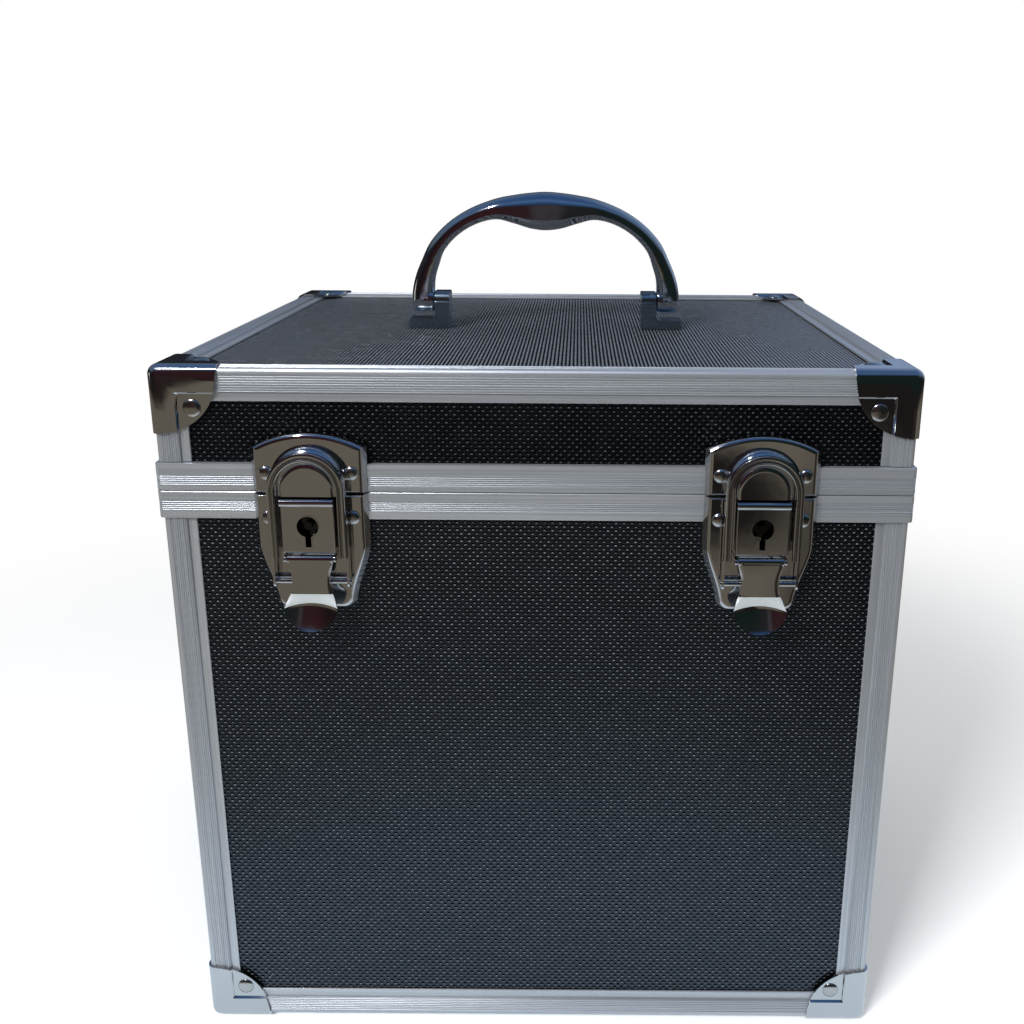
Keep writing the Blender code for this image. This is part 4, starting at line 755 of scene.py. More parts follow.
LAMINATE_WALLS = {body: wall_laminates(body) for body in LAMINATE_WALL_GLINT_PAINT_AND_SHINE}
LAMINATE_TOP = laminate("laminate_top", 0, 1, LAMINATE_TOP_PITS, LAMINATE_TOP_GLINT_PAINT_AND_SHINE)
ALUMINIUM = [aluminium(f"aluminium_{letter}", axis) for axis, letter in enumerate("xyz")]
CHROME = chrome("chrome", (0.66, 0.66, 0.67), least_roughness=0.05)
RIVET_CHROME = chrome("rivet_chrome", (0.58, 0.57, 0.55), least_roughness=0.2)
# Satin chrome for the lever's bend: rougher like satin plating, and partly diffuse and pale so that the bend
# shows a band of painted sheen
SATIN_CHROME_PAINTED_SHEEN = chrome("satin_chrome_painted_sheen", (0.40, 0.43, 0.44), least_roughness=0.42, metallic=0.3)
STEEL = steel("zinc_steel")
# Darker blue-grey chrome for the handle brackets: the tint is a painted reflection, the roughness is a real
# satin finish
BRACKET_CHROME_PAINTED_REFLECTION = chrome("bracket_chrome_painted_reflection", (0.36, 0.44, 0.49), least_roughness=0.20)
# Near-black chrome for the lock cams: painted shade inside the keyholes
PAINTED_SHADE_STEEL = chrome("painted_shade_steel", (0.05, 0.05, 0.05), least_roughness=0.16)
FOAM = foam("foam")


def use_material(node, material):
    """Give a node of the model another finish."""
    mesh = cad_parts[node].data
    mesh.materials.clear()
    mesh.materials.append(material)


def dress_nodes():
    for body in ("base", "lid"):
        for side in SIDES:
            use_material(f"{body}_{side}_panel", LAMINATE_WALLS[body][side_axis(side)])
    use_material("base_bottom_panel", LAMINATE_TOP)
    use_material("lid_top_panel", LAMINATE_TOP)
    for side in ("left", "right"):
        # The lock cams are made near black: painted shade inside the keyholes
        use_material(f"{side}_lock_cam", PAINTED_SHADE_STEEL)
        for node in (f"handle_pin_{side}", f"hinge_{side}_pin"):
            use_material(node, STEEL)


# Frame of the case


def side_point(side, along, inset, z):
    """A point on one side wall: along the wall, inset from its outer face, at a height."""
    if side == "front":
        return Vector((along, CENTRE_Y - HALF_Y + inset, z))
    if side == "back":
        return Vector((along, CENTRE_Y + HALF_Y - inset, z))
    if side == "left":
        return Vector((inset - HALF_X, CENTRE_Y + along, z))
    return Vector((HALF_X - inset, CENTRE_Y + along, z))


def side_axis(side):
    """The axis that a side wall runs along, 0 or 1."""
    return 0 if side in ("front", "back") else 1


def side_half(side):
    return (HALF_X, HALF_Y)[side_axis(side)]


def side_outward(side):
    return side_point(side, 0, 0, 0) - side_point(side, 0, 1, 0)


def grooved_flank(ribbed_width, first_groove, grooves):
    """Half of an extrusion's section, from its rounded corner along one face and back inside."""
    pitch = (ribbed_width - LAST_GROOVE_MARGIN - first_groove) / (grooves - 1)
    flank = []
    for index in range(grooves):
        middle = first_groove + pitch * index
        for across, depth in ((-0.5, 0), (-0.05, 1), (0.05, 1), (0.5, 0)):
            flank.append((middle + across * GROOVE_WIDTH, depth * GROOVE_DEPTH))
    lip_end = EDGE_WIDTH - SOFT_EDGE
    flank += [
        (ribbed_width - SOFT_EDGE, 0),
        (ribbed_width, SOFT_EDGE),
        (ribbed_width, CAP_STEP),
        (lip_end, CAP_STEP),
        (EDGE_WIDTH, CAP_STEP + SOFT_EDGE),
        (EDGE_WIDTH, EDGE_THICKNESS),
        (FIN_END, EDGE_THICKNESS),
        (FIN_END, FIN_INSET),
        (EDGE_WIDTH, FIN_INSET),
        (EDGE_WIDTH, FIN_END),
    ]
    return flank


def extrusion_profile(ribbed_width, first_groove, grooves):
    """Section of an edge extrusion: inset from one outer face and from the other."""
    flank = grooved_flank(ribbed_width, first_groove, grooves)
    corner = arc_points((EDGE_ROUND, EDGE_ROUND), EDGE_ROUND, 180, 270, 10)
    return corner + flank + [(FIN_END, FIN_END)] + [(second, first) for first, second in reversed(flank)]


def make_edges(body, level, height_of):
    covered = extrusion_profile(EDGE_COVERED_RIBBED_WIDTH, EDGE_FIRST_GROOVE, EDGE_GROOVES)
    free = extrusion_profile(EDGE_OPEN_RIBBED_WIDTH, EDGE_FIRST_GROOVE, EDGE_GROOVES)
    for side in SIDES:
        half = side_half(side)
        levels = []
        for sign in (-1, 1):
            end = []
            for inset, drop in covered:
                reach = half - max(inset, CORNER_NOTCH) - FIT_GAP
                end.append(side_point(side, sign * reach, inset, height_of(drop)))
            group = [[end]]
            for profile, inward in ((covered, COVERED_REACH), (free, COVERED_REACH + COVERED_TAPER)):
                along = sign * (half - inward)
                group.append([[side_point(side, along, inset, height_of(drop)) for inset, drop in profile]])
            levels += group if sign < 0 else reversed(group)
        name = f"{body}_{side}_{level}_edge"
        finish = ALUMINIUM[side_axis(side)]
        make_piece(f"fine_{name}", made(add_stack, levels), finish, body, [name])


def make_uprights():
    covered = extrusion_profile(EDGE_COVERED_RIBBED_WIDTH, UPRIGHT_FIRST_GROOVE, UPRIGHT_GROOVES)
    free = extrusion_profile(EDGE_OPEN_RIBBED_WIDTH, UPRIGHT_FIRST_GROOVE, UPRIGHT_GROOVES)
    stations = {
        "base": (
            (BODY_BOTTOM + EDGE_WIDTH + FIT_GAP, covered),
            (BODY_BOTTOM + COVERED_REACH, covered),
            (BODY_BOTTOM + COVERED_REACH + COVERED_TAPER, free),
            (BASE_RIM_TOP - RIM_HEIGHT - FIT_GAP, free),
        ),
        "lid": (
            (LID_RIM_BOTTOM + RIM_HEIGHT + FIT_GAP, free),
            (BODY_TOP - COVERED_REACH - COVERED_TAPER, free),
            (BODY_TOP - COVERED_REACH, covered),
            (BODY_TOP - EDGE_WIDTH - FIT_GAP, covered),
        ),
    }
    for body, rows in stations.items():
        for corner, (sign_x, sign_y) in CORNERS.items():
            levels = []
            for height, profile in rows:
                loop = []
                for inset_x, inset_y in profile:
                    loop.append((sign_x * (HALF_X - inset_x), CENTRE_Y + sign_y * (HALF_Y - inset_y), height))
                levels.append([loop])
            name = f"{body}_{corner}_upright"
            make_piece(f"fine_{name}", made(add_stack, levels), ALUMINIUM[2], body, [name])


def rim_profile(with_tongue, first_groove):
    """Section of a rim band: inset from the case's outer face, and depth from the split face."""
    profile = [(-RIM_PROUD + SOFT_EDGE, 0)]
    if with_tongue:
        profile += [(TONGUE_INSET, 0), (TONGUE_INSET, -TONGUE_HEIGHT), (TONGUE_END, -TONGUE_HEIGHT)]
        profile += [(TONGUE_END, RIM_WEB), (RIM_FIN_END, RIM_WEB)]
    else:
        profile += [(RIM_FIN_END, 0)]
    profile += [
        (RIM_FIN_END, RIM_HEIGHT),
        (FIN_INSET, RIM_HEIGHT),
        (FIN_INSET, RIM_WEB),
        (-FIT_GAP, RIM_WEB),
        (-FIT_GAP, RIM_HEIGHT - RIM_WALL),
        (EDGE_THICKNESS, RIM_HEIGHT - RIM_WALL),
        (EDGE_THICKNESS, RIM_HEIGHT),
        (-RIM_PROUD + SOFT_EDGE * 2, RIM_HEIGHT),
        (-RIM_PROUD + SOFT_EDGE / 2, RIM_HEIGHT - SOFT_EDGE / 2),
        (-RIM_PROUD, RIM_HEIGHT - SOFT_EDGE * 2),
    ]
    for index in reversed(range(RIM_GROOVES)):
        middle = first_groove + RIM_GROOVE_PITCH * index
        for across, depth in ((0.5, 0), (0.05, 1), (-0.05, 1), (-0.5, 0)):
            profile.append((-RIM_PROUD + depth * GROOVE_DEPTH, middle + across * GROOVE_WIDTH))
    profile.append((-RIM_PROUD, SOFT_EDGE))
    return profile


def round_rectangle(low, high, inset, radius):
    """A rectangle with round corners, at an inset from the box between two points."""
    points = []
    for start, (sign_x, sign_y) in ROUND_CORNERS:
        x = (low[0] if sign_x < 0 else high[0]) - sign_x * (inset + radius)
        y = (low[1] if sign_y < 0 else high[1]) - sign_y * (inset + radius)
        points += arc_points((x, y), radius, start, start + 90, 6)
    return points


def make_rims():
    rows = (
        ("base", True, RIM_BASE_FIRST_GROOVE, BASE_RIM_TOP),
        ("lid", False, RIM_LID_FIRST_GROOVE, LID_RIM_BOTTOM),
    )
    low = (-HALF_X, CENTRE_Y - HALF_Y)
    high = (HALF_X, CENTRE_Y + HALF_Y)
    for body, with_tongue, first_groove, split_face in rows:
        solid = bmesh.new()
        columns = []
        for inset, depth in rim_profile(with_tongue, first_groove):
            radius = max(RIM_CORNER_ROUND - RIM_PROUD - inset, SOFT_EDGE)
            loop = round_rectangle(low, high, inset, radius)
            height = split_face + UPWARD[body] * depth
            columns.append([solid.verts.new((x, y, height)) for x, y in loop])
        for index, column in enumerate(columns):
            following = columns[(index + 1) % len(columns)]
            for step in range(len(column)):
                after = (step + 1) % len(column)
                solid.faces.new((column[step], column[after], following[after], following[step]))
        bmesh.ops.recalc_face_normals(solid, faces=solid.faces[:])
        for face in solid.faces:
            middle = face.calc_center_median() - Vector((0, CENTRE_Y, 0))
            runs_along_y = abs(middle.x) / HALF_X > abs(middle.y) / HALF_Y
            face.material_index = 1 if runs_along_y else 0
        make_piece(f"fine_{body}_rim", solid, ALUMINIUM[:2], body, [f"{body}_rim"])


# Corner caps


def rounded_corner(low, size, radius):
    """A cube from low to size whose three edges at the low corner are rounded."""
    solid = made(add_box, (low, low, low), (size, size, size))
    edges = []
    for edge in solid.edges:
        ends = [vert.co for vert in edge.verts]
        shared = sum(1 for axis in range(3) if max(end[axis] for end in ends) - low < FIT_GAP)
        if shared == 2:
            edges.append(edge)
    bmesh.ops.bevel(
        solid, geom=edges, offset=radius, offset_type="OFFSET", segments=10, profile=0.5, affect="EDGES",
    )
    return solid


def add_cap_outline(solid, face):
    """The outline of one cap face, a thick slab. Face 0, 1 or 2 is the axis that it looks along."""
    outline = [(-CUT_OVERRUN, -CUT_OVERRUN), (CAP_SIZE, -CUT_OVERRUN)]
    for step in range(FINE_SEGMENTS + 1):
        angle = math.pi / 2 * step / FINE_SEGMENTS
        x = CAP_SIZE * abs(math.cos(angle)) ** CAP_OUTLINE_SHARE
        y = CAP_SIZE * math.sin(angle) ** CAP_OUTLINE_SHARE
        outline.append((x, y))
    outline.append((-CUT_OVERRUN, CAP_SIZE))

    def end(depth):
        def place(first, second):
            point = [first, second]
            point.insert(face, depth)
            return tuple(point)
        return place

    add_prism(solid, [outline], end(-CUT_OVERRUN), end(CAP_EDGE_RADIUS))


def cap_solid():
    """One corner cap, with its outer corner at the origin and its sides along the axes."""
    reach = CAP_SIZE + CUT_OVERRUN
    shell = rounded_corner(0, reach, CAP_EDGE_RADIUS)
    inner = rounded_corner(CAP_THICKNESS, reach + CUT_OVERRUN, CAP_EDGE_RADIUS - CAP_THICKNESS)
    for face in range(3):
        low = [CAP_WALL_PLACE] * 3
        high = [reach + CUT_OVERRUN * 2] * 3
        low[face] = 0
        high[face] = CAP_STEP + CAP_THICKNESS
        inner = cut(inner, add_box, low, high)
    shell = boolean(shell, inner, "DIFFERENCE")
    for face in range(3):
        levels = []
        for depth in (-CUT_OVERRUN, CAP_STEP):
            near = CAP_STEP_PLACE - CAP_STEP_SLOPE * (1 - depth / CAP_STEP)
            loop = []
            for point in softened(box_points((near, near), (reach * 2, reach * 2)), CAP_STEP_ROUND, 3):
                point = list(point)
                point.insert(face, depth)
                loop.append(tuple(point))
            levels.append([loop])
        shell = cut(shell, add_stack, levels)
    outlines = made(add_cap_outline, 0)
    for face in (1, 2):
        outlines = joined(outlines, add_cap_outline, face)
    return boolean(shell, outlines, "INTERSECT")


def add_dome(solid, seat, outward, radius, height):
    """A rivet head: a low dome with a short upright rim."""
    rim = height * DOME_RIM_SHARE
    profile = [(0, -rim), (radius, -rim)]
    for across, rise in arc_points((0, 0), 1, DOME_START, 90, 9)[:-1]:
        profile.append((radius * across, height * rise))
    profile.append((0, height))
    add_turned(solid, profile, seat, outward, ROUND_SEGMENTS)


def cap_rivets(level_dome_height):
    """A rivet on each face of a cap. The one on the level face may be lower: the case stands on it."""
    solid = bmesh.new()
    for face in range(3):
        seat = [CAP_RIVET_PLACE] * 3
        seat[face] = CAP_STEP
        outward = [0, 0, 0]
        outward[face] = -1
        height = level_dome_height if face == 2 else CAP_DOME_HEIGHT
        add_dome(solid, seat, outward, CAP_DOME_RADIUS, height)
    return solid


def make_caps():
    levels = (
        ("base", 1, BODY_BOTTOM - CAP_PROUD, BOTTOM_DOME_HEIGHT),
        ("lid", -1, BODY_TOP + CAP_PROUD, CAP_DOME_HEIGHT),
    )
    for body, sign_z, height, dome_height in levels:
        patterns = {}
        for kind, solid in (("cap", cap_solid()), ("cap_rivets", cap_rivets(dome_height))):
            patterns[kind] = bpy.data.meshes.new("pattern")
            solid.to_mesh(patterns[kind])
            solid.free()
        for corner, (sign_x, sign_y) in CORNERS.items():
            outer = (sign_x * (HALF_X + CAP_PROUD), CENTRE_Y + sign_y * (HALF_Y + CAP_PROUD), height)
            turn = Matrix.Translation(outer) @ Matrix.Diagonal((-sign_x, -sign_y, sign_z, 1))
            for kind, pattern in patterns.items():
                solid = bmesh.new()
                solid.from_mesh(pattern)
                bmesh.ops.transform(solid, matrix=turn, verts=solid.verts)
                bmesh.ops.recalc_face_normals(solid, faces=solid.faces[:])
                name = f"{body}_{corner}_{kind}"
                if kind == "cap":
                    make_piece(f"fine_{name}", solid, CHROME, body, [name], CAP_BEVEL, True)
                else:
                    make_piece(f"fine_{name}", solid, RIVET_CHROME, body)
        for pattern in patterns.values():
            bpy.data.meshes.remove(pattern)


# Handle


def smooth_stations():
    """The handle's stations on a Catmull-Rom curve, from the right leg to the left one."""
    mirrored = [(-row[0], row[1], -row[2], row[3], row[4]) for row in reversed(HANDLE_STATION_SHARES[:-1])]
    rows = list(HANDLE_STATION_SHARES) + mirrored
    stations = []
    for index in range(len(rows) - 1):
        before = rows[max(index - 1, 0)]
        here = rows[index]
        after = rows[index + 1]
        beyond = rows[min(index + 2, len(rows) - 1)]
        for step in range(HANDLE_SUBSTEPS):
            t = step / HANDLE_SUBSTEPS
            station = []
            for a, b, c, d in zip(before, here, after, beyond):
                curve = (c - a) * t + (2 * a - 5 * b + 4 * c - d) * t * t + (3 * b - a - 3 * c + d) * t ** 3
                station.append(b + curve / 2)
            stations.append(station)
    stations.append(rows[-1])
    return stations


def handle_section(outer, inner, half_depth):
    """One ring round the grip: a convex upper face, a small ledge, and a narrower underside."""
    ledge = outer.lerp(inner, HANDLE_LEDGE_SHARE)
    lower_half = half_depth - HANDLE_LEDGE
    right = []
    upper_steps = 12
    for step in range(upper_steps + 1):
        turn = math.radians(90 - 90 / upper_steps * step)
        centre = ledge.lerp(outer, max(math.sin(turn), 0) ** HANDLE_FULLNESS)
        right.append(centre + Vector((0, half_depth * abs(math.cos(turn)) ** HANDLE_FULLNESS, 0)))
    for down, inward in HANDLE_LEDGE_ROUND:
        right.append(ledge.lerp(inner, down) + Vector((0, half_depth - HANDLE_LEDGE * inward, 0)))
    lower_steps = 7
    for step in range(lower_steps):
        turn = math.radians(HANDLE_LOWER_START + (90 - HANDLE_LOWER_START) * step / lower_steps)
        centre = ledge.lerp(inner, math.sin(turn))
        right.append(centre + Vector((0, lower_half * math.cos(turn), 0)))
    left = [Vector((point.x, -point.y, point.z)) for point in reversed(right[1:])]
    return right + [inner] + left


def leg_end(section):
    """Loops that close one leg below its pivot with a round end."""
    middle = (max(point.x for point in section) + min(point.x for point in section)) / 2
    loops = []
    for turn in HANDLE_END_TURNS:
        depth = math.cos(math.radians(turn))
        drop = HANDLE_LEG_RADIUS * math.sin(math.radians(turn))
        width = 1 - HANDLE_END_TAPER * (1 - depth)
        loops.append([[((x - middle) * width + middle, y * depth, -drop) for x, y, _ in section]])
    return loops


def make_handle():
    levels = []
    for outer_x, outer_z, inner_x, inner_z, depth_share in smooth_stations():
        outer = Vector((outer_x * HANDLE_HALF_SPAN, 0, outer_z * HANDLE_RISE))
        inner = Vector((inner_x * HANDLE_HALF_SPAN, 0, inner_z * HANDLE_RISE))
        levels.append([handle_section(outer, inner, depth_share * HANDLE_GRIP_HALF_DEPTH)])
    levels = leg_end(levels[0][0])[::-1] + levels + leg_end(levels[-1][0])
    solid = made(add_stack, levels)
    for sign in (-1, 1):
        base = (sign * HANDLE_LEG_INNER, 0, 0)
        length = (HANDLE_HALF_SPAN - HANDLE_LEG_INNER) * HANDLE_EYE_SHARE
        eye = (base, (sign, 0, 0), HANDLE_LEG_RADIUS, length, FINE_SEGMENTS, HANDLE_EYE_SOFT)
        solid = joined(solid, add_cylinder, *eye)
    for sign in (-1, 1):
        base = (sign * (HANDLE_LEG_INNER - CUT_OVERRUN), 0, 0)
        depth = CUT_OVERRUN + HANDLE_PIN_BITE + FIT_GAP
        solid = cut(solid, add_cylinder, base, (sign, 0, 0), HANDLE_PIN_RADIUS + FIT_GAP, depth)
    bmesh.ops.translate(solid, verts=solid.verts, vec=(0, CENTRE_Y, HANDLE_PIVOT))
    make_piece("fine_handle", solid, CHROME, "handle", ["handle"], FINE_BEVEL)


def bracket_solid():
    """Bracket on the right: an upright with a rounded crown that holds the pin, and a foot."""
    bottom = TOP_SURFACE + FIT_GAP
    foot_top = bottom + BRACKET_FOOT_HEIGHT
    upright_outer = BRACKET_INNER + BRACKET_UPRIGHT_WIDTH
    crown = HANDLE_PIVOT + BRACKET_CROWN
    foot_end = BRACKET_INNER + BRACKET_FOOT_LENGTH
    fillet_centre = (upright_outer + BRACKET_FILLET, foot_top + BRACKET_FILLET)
    front = [(BRACKET_INNER, bottom), (foot_end, bottom), (foot_end, foot_top)]
    front += arc_points(fillet_centre, BRACKET_FILLET, 270, 180, 8)
    front += [(upright_outer, crown), (BRACKET_INNER, crown)]
    half = BRACKET_DEPTH / 2
    solid = made(add_prism, [front], lambda x, z: (x, -half, z), lambda x, z: (x, half, z))
    crease = crown - BRACKET_ROUND - BRACKET_CREASE
    side = [(-half, bottom), (half, bottom), (half, crease - BRACKET_CREASE), (half - BRACKET_CREASE, crease)]
    for sign, start in ((1, 0), (-1, 90)):
        centre = (sign * (half - BRACKET_ROUND), crown - BRACKET_ROUND)
        side += arc_points(centre, BRACKET_ROUND, start, start + 90, 10)
    side += [(BRACKET_CREASE - half, crease), (-half, crease - BRACKET_CREASE)]
    left = BRACKET_INNER - CUT_OVERRUN
    right = foot_end + CUT_OVERRUN
    profile = made(add_prism, [side], lambda y, z: (left, y, z), lambda y, z: (right, y, z))
    solid = boolean(solid, profile, "INTERSECT")
    length = BRACKET_UPRIGHT_WIDTH + CUT_OVERRUN * 2
    base = (left, 0, HANDLE_PIVOT)
    return cut(solid, add_cylinder, base, (1, 0, 0), HANDLE_PIN_RADIUS + FIT_GAP, length)


def make_brackets():
    for name, sign in (("left", -1), ("right", 1)):
        solid = bracket_solid()
        turn = Matrix.Translation((0, CENTRE_Y, 0)) @ Matrix.Diagonal((sign, 1, 1, 1))
        bmesh.ops.transform(solid, matrix=turn, verts=solid.verts)
        bmesh.ops.recalc_face_normals(solid, faces=solid.faces[:])
        node = f"handle_bracket_{name}"
        # The brackets wear chrome with a painted blue-grey reflection tint
        make_piece(f"fine_{node}", solid, BRACKET_CHROME_PAINTED_REFLECTION, "lid", [node], BRACKET_BEVEL)


# Rear hinges


def hinge_rivet_places(centre):
    reach = HINGE_LENGTH * (1 - 1 / HINGE_KNUCKLES) / 2
    return (centre - reach, centre + reach)


def hinge_leaf(centre, body):
    """One leaf: a plate on the rim band, its knuckles, and on the lid a lip that stops the opening."""
    up = UPWARD[body]
    pitch = HINGE_LENGTH / HINGE_KNUCKLES
    sweep = HINGE_KNUCKLE_RADIUS + HINGE_SWEEP_CLEARANCE
    own = [index for index in range(HINGE_KNUCKLES) if (index % 2 == 0) == (body == "base")]
    left = centre - HINGE_LENGTH / 2
    teeth = []
    for index in range(HINGE_KNUCKLES):
        height = FIT_GAP if index in own else sweep
        grow = -FIT_GAP if index in own else FIT_GAP
        start = max(left + pitch * index - grow, left)
        end = min(left + pitch * (index + 1) + grow, left + HINGE_LENGTH)
        teeth += [(start, SPLIT + up * height), (end, SPLIT + up * height)]
    far = SPLIT + up * HINGE_LEAF_HEIGHT
    far_corners = [(left + HINGE_LENGTH, far), (left, far), (centre, SPLIT)]
    outline = teeth + softened(far_corners, HINGE_LEAF_ROUND, 6)[:-3]
    solid = made(
        add_prism,
        [outline],
        lambda x, z: side_point("back", x, -HINGE_LEAF_INNER, z),
        lambda x, z: side_point("back", x, -HINGE_LEAF_OUTER, z),
    )
    for index in own:
        start = left + pitch * index + FIT_GAP / 2
        base = side_point("back", start, -HINGE_AXIS_OUT, SPLIT)
        solid = joined(solid, add_cylinder, base, (1, 0, 0), HINGE_KNUCKLE_RADIUS, pitch - FIT_GAP)
        if body == "lid":
            half = HINGE_STOP_THICKNESS / 2
            low = side_point("back", start + FIT_GAP, -HINGE_AXIS_OUT, SPLIT - half)
            end = start + pitch - FIT_GAP * 2
            high = side_point("back", end, -HINGE_AXIS_OUT - HINGE_STOP_REACH, SPLIT + half)
            solid = joined(solid, add_box, low, high)
    base = side_point("back", left - CUT_OVERRUN, -HINGE_AXIS_OUT, SPLIT)
    length = HINGE_LENGTH + CUT_OVERRUN * 2
    radius = HINGE_PIN_RADIUS + HINGE_PIN_CLEARANCE
    return cut(solid, add_cylinder, base, (1, 0, 0), radius, length, PIN_SEGMENTS)


def make_hinges():
    for name, centre in HINGES.items():
        for body in ("base", "lid"):
            node = f"hinge_{name}_{body}_leaf"
            make_piece(f"fine_{node}", hinge_leaf(centre, body), STEEL, body, [node], FINE_BEVEL)
            rivets = bmesh.new()
            for along in hinge_rivet_places(centre):
                seat = side_point("back", along, -HINGE_LEAF_OUTER, SPLIT + UPWARD[body] * HINGE_RIVET_DROP)
                add_dome(rivets, seat, side_outward("back"), HINGE_DOME_RADIUS, HINGE_DOME_HEIGHT)
            make_piece(f"fine_{node}_rivets", rivets, STEEL, body)


# Latches


def add_out_prism(solid, loops, inner, outer):
    """A prism of loops of (x, z), from one distance out of the case to another."""
    add_prism(solid, loops, lambda x, z: (x, -inner, z), lambda x, z: (x, -outer, z))


def add_out_stack(solid, levels):
    """A solid from levels of (outline of (x, z), distance out of the case)."""
    add_stack(solid, [[[(x, -out, z) for x, z in outline]] for outline, out in levels])


def add_cross_prism(solid, loops, left, right):
    """A prism of loops of (distance out, z), from one x to another."""
    add_prism(solid, loops, lambda out, z: (left, -out, z), lambda out, z: (right, -out, z))


def shouldered_levels(outline_at, back, front, width, height, segments):
    """Levels of a plate whose front edge is a quarter ellipse. outline_at gives the outline at an inset."""
    levels = [(outline_at(0), back)]
    for step in range(segments + 1):
        turn = math.pi / 2 * step / segments
        inset = width * (1 - math.cos(turn))
        levels.append((outline_at(inset), front - height * (1 - math.sin(turn))))
    return levels


def flank_inset(depth):
    """Inset of a plate's side at a depth below its front face: a round from the face to a steady slope."""
    bend = FLANK_ROUND * (1 - math.cos(FLANK_SLOPE))
    if depth > bend:
        return max(FLANK_DEPTH - depth, 0) / math.tan(FLANK_SLOPE)
    far = (FLANK_DEPTH - bend) / math.tan(FLANK_SLOPE) + FLANK_ROUND * math.sin(FLANK_SLOPE)
    return far - FLANK_ROUND * math.sin(math.acos(1 - depth / FLANK_ROUND))


def keeper_outline(inset, side_inset):
    """Straight sides, and an arch from shoulder to shoulder."""
    half = PLATE_HALF_WIDTH - side_inset
    apex = KEEPER_APEX - inset
    shoulder = KEEPER_SHOULDER - inset * (KEEPER_SHOULDER / KEEPER_APEX)
    rise = apex - shoulder
    radius = (half * half + rise * rise) / (2 * rise)
    spread = math.degrees(math.asin(half / radius))
    arch = arc_points((0, apex - radius), radius, 90 - spread, 90 + spread, 24)
    low = PLATE_GAP + inset * PLATE_SPLIT_SHARE
    return [(-half, low), (half, low)] + arch


def arch_outline(half, apex, bottom):
    """Straight legs and a half-round top."""
    return [(-half, bottom), (half, bottom)] + arc_points((0, apex - half), half, 0, 180, FINE_SEGMENTS)


def lock_outline(inset, side_inset):
    """Straight sides that curve in to a narrower foot with rounded corners."""
    half = PLATE_HALF_WIDTH - side_inset
    foot = LOCK_PLATE_FOOT_HALF_WIDTH - side_inset
    bottom = inset - LOCK_PLATE_LENGTH
    corner = bottom + LOCK_PLATE_FOOT_ROUND
    right = [(half, -PLATE_GAP - inset * PLATE_SPLIT_SHARE), (half, -LOCK_PLATE_STRAIGHT)]
    steps = 12
    for step in range(1, steps):
        share = step / steps
        x = half + (foot - half) * (share + eased(share)) / 2
        right.append((x, -LOCK_PLATE_STRAIGHT + (corner + LOCK_PLATE_STRAIGHT) * share))
    centre = (foot - LOCK_PLATE_FOOT_ROUND, corner)
    right += arc_points(centre, LOCK_PLATE_FOOT_ROUND, 0, -90, 8)
    return right + [(-x, z) for x, z in reversed(right)]


def pan_solid(outline_at):
    """A pressed plate: rounded front edge, sloped flanks, and walls that reach the panel."""
    levels = [(outline_at(0, 0), PLATE_BACK)]
    steps = 16
    for step in range(steps, -1, -1):
        depth = FLANK_DEPTH * (step / steps) ** 2
        turn = math.acos(min(depth / PLATE_ROUND, 1) - 1) - math.pi / 2
        inset = PLATE_ROUND * (1 - math.cos(turn))
        levels.append((outline_at(inset, flank_inset(depth)), PLATE_FRONT - depth))
    solid = made(add_out_stack, levels)
    outline = outline_at(PLATE_SHEET + PLATE_ROUND / 2, PLATE_SHEET + flank_inset(PLATE_SHEET))
    return cut(solid, add_out_prism, [outline], PLATE_BACK - CUT_OVERRUN, PLATE_INNER)


def add_rim_room(solid, sign):
    """Room for the rim band behind a plate above (1) or below (-1) the split."""
    reach = PLATE_HALF_WIDTH + CUT_OVERRUN
    near = -sign * CUT_OVERRUN
    far = sign * (LID_GAP / 2 + RIM_HEIGHT + FIT_GAP)
    outline = box_points((-reach, min(near, far)), (reach, max(near, far)))
    add_out_prism(solid, [outline], PLATE_BACK - CUT_OVERRUN, RIM_PROUD + FIT_GAP)


def keeper_solid():
    """Keeper plate with its hump, and the boss on the hump."""
    solid = pan_solid(keeper_outline)
    boss_height = BOSS_FRONT - HUMP_FRONT
    swellings = (
        (HUMP_HALF_WIDTH, HUMP_APEX, PLATE_MIDDLE, HUMP_FRONT, HUMP_SHOULDER, HUMP_FRONT - PLATE_MIDDLE, 12),
        (BOSS_HALF_WIDTH, BOSS_APEX, HUMP_FRONT - boss_height, BOSS_FRONT, BOSS_SHOULDER, boss_height, 6),
    )
    for half, apex, *rise in swellings:
        levels = shouldered_levels(lambda inset: arch_outline(half - inset, apex - inset, PLATE_GAP), *rise)
        solid = joined(solid, add_out_stack, levels)
    half = HUMP_HALF_WIDTH - HUMP_SHOULDER
    hollow = arch_outline(half, HUMP_APEX - HUMP_SHOULDER, PLATE_GAP + PLATE_SHEET)
    solid = cut(solid, add_out_prism, [hollow], PLATE_BACK, HUMP_FRONT - PLATE_SHEET)
    return cut(solid, add_rim_room, UPWARD["lid"])


def plate_rivets(height):
    rivets = bmesh.new()
    for sign in (-1, 1):
        seat = (sign * LATCH_RIVET_PLACE, -PLATE_FRONT, height)
        add_dome(rivets, seat, (0, -1, 0), LATCH_DOME_RADIUS, LATCH_DOME_HEIGHT)
    return rivets


def housing_outline(inset):
    half = HOUSING_HALF_WIDTH - inset
    return box_points((-half, inset - HOUSING_BOTTOM), (half, -PLATE_GAP - inset))


def keyhole_outline(grow):
    """A round hole with a slot below it."""
    half = KEYHOLE_SLOT_HALF_WIDTH + grow
    radius = KEYHOLE_RADIUS + grow
    spread = math.degrees(math.asin(half / radius))
    ring = arc_points((0, -KEYHOLE_DROP), radius, spread - 90, 270 - spread, FINE_SEGMENTS)
    end = -KEYHOLE_SLOT_END - grow
    return ring + [(-half, end), (half, end)]


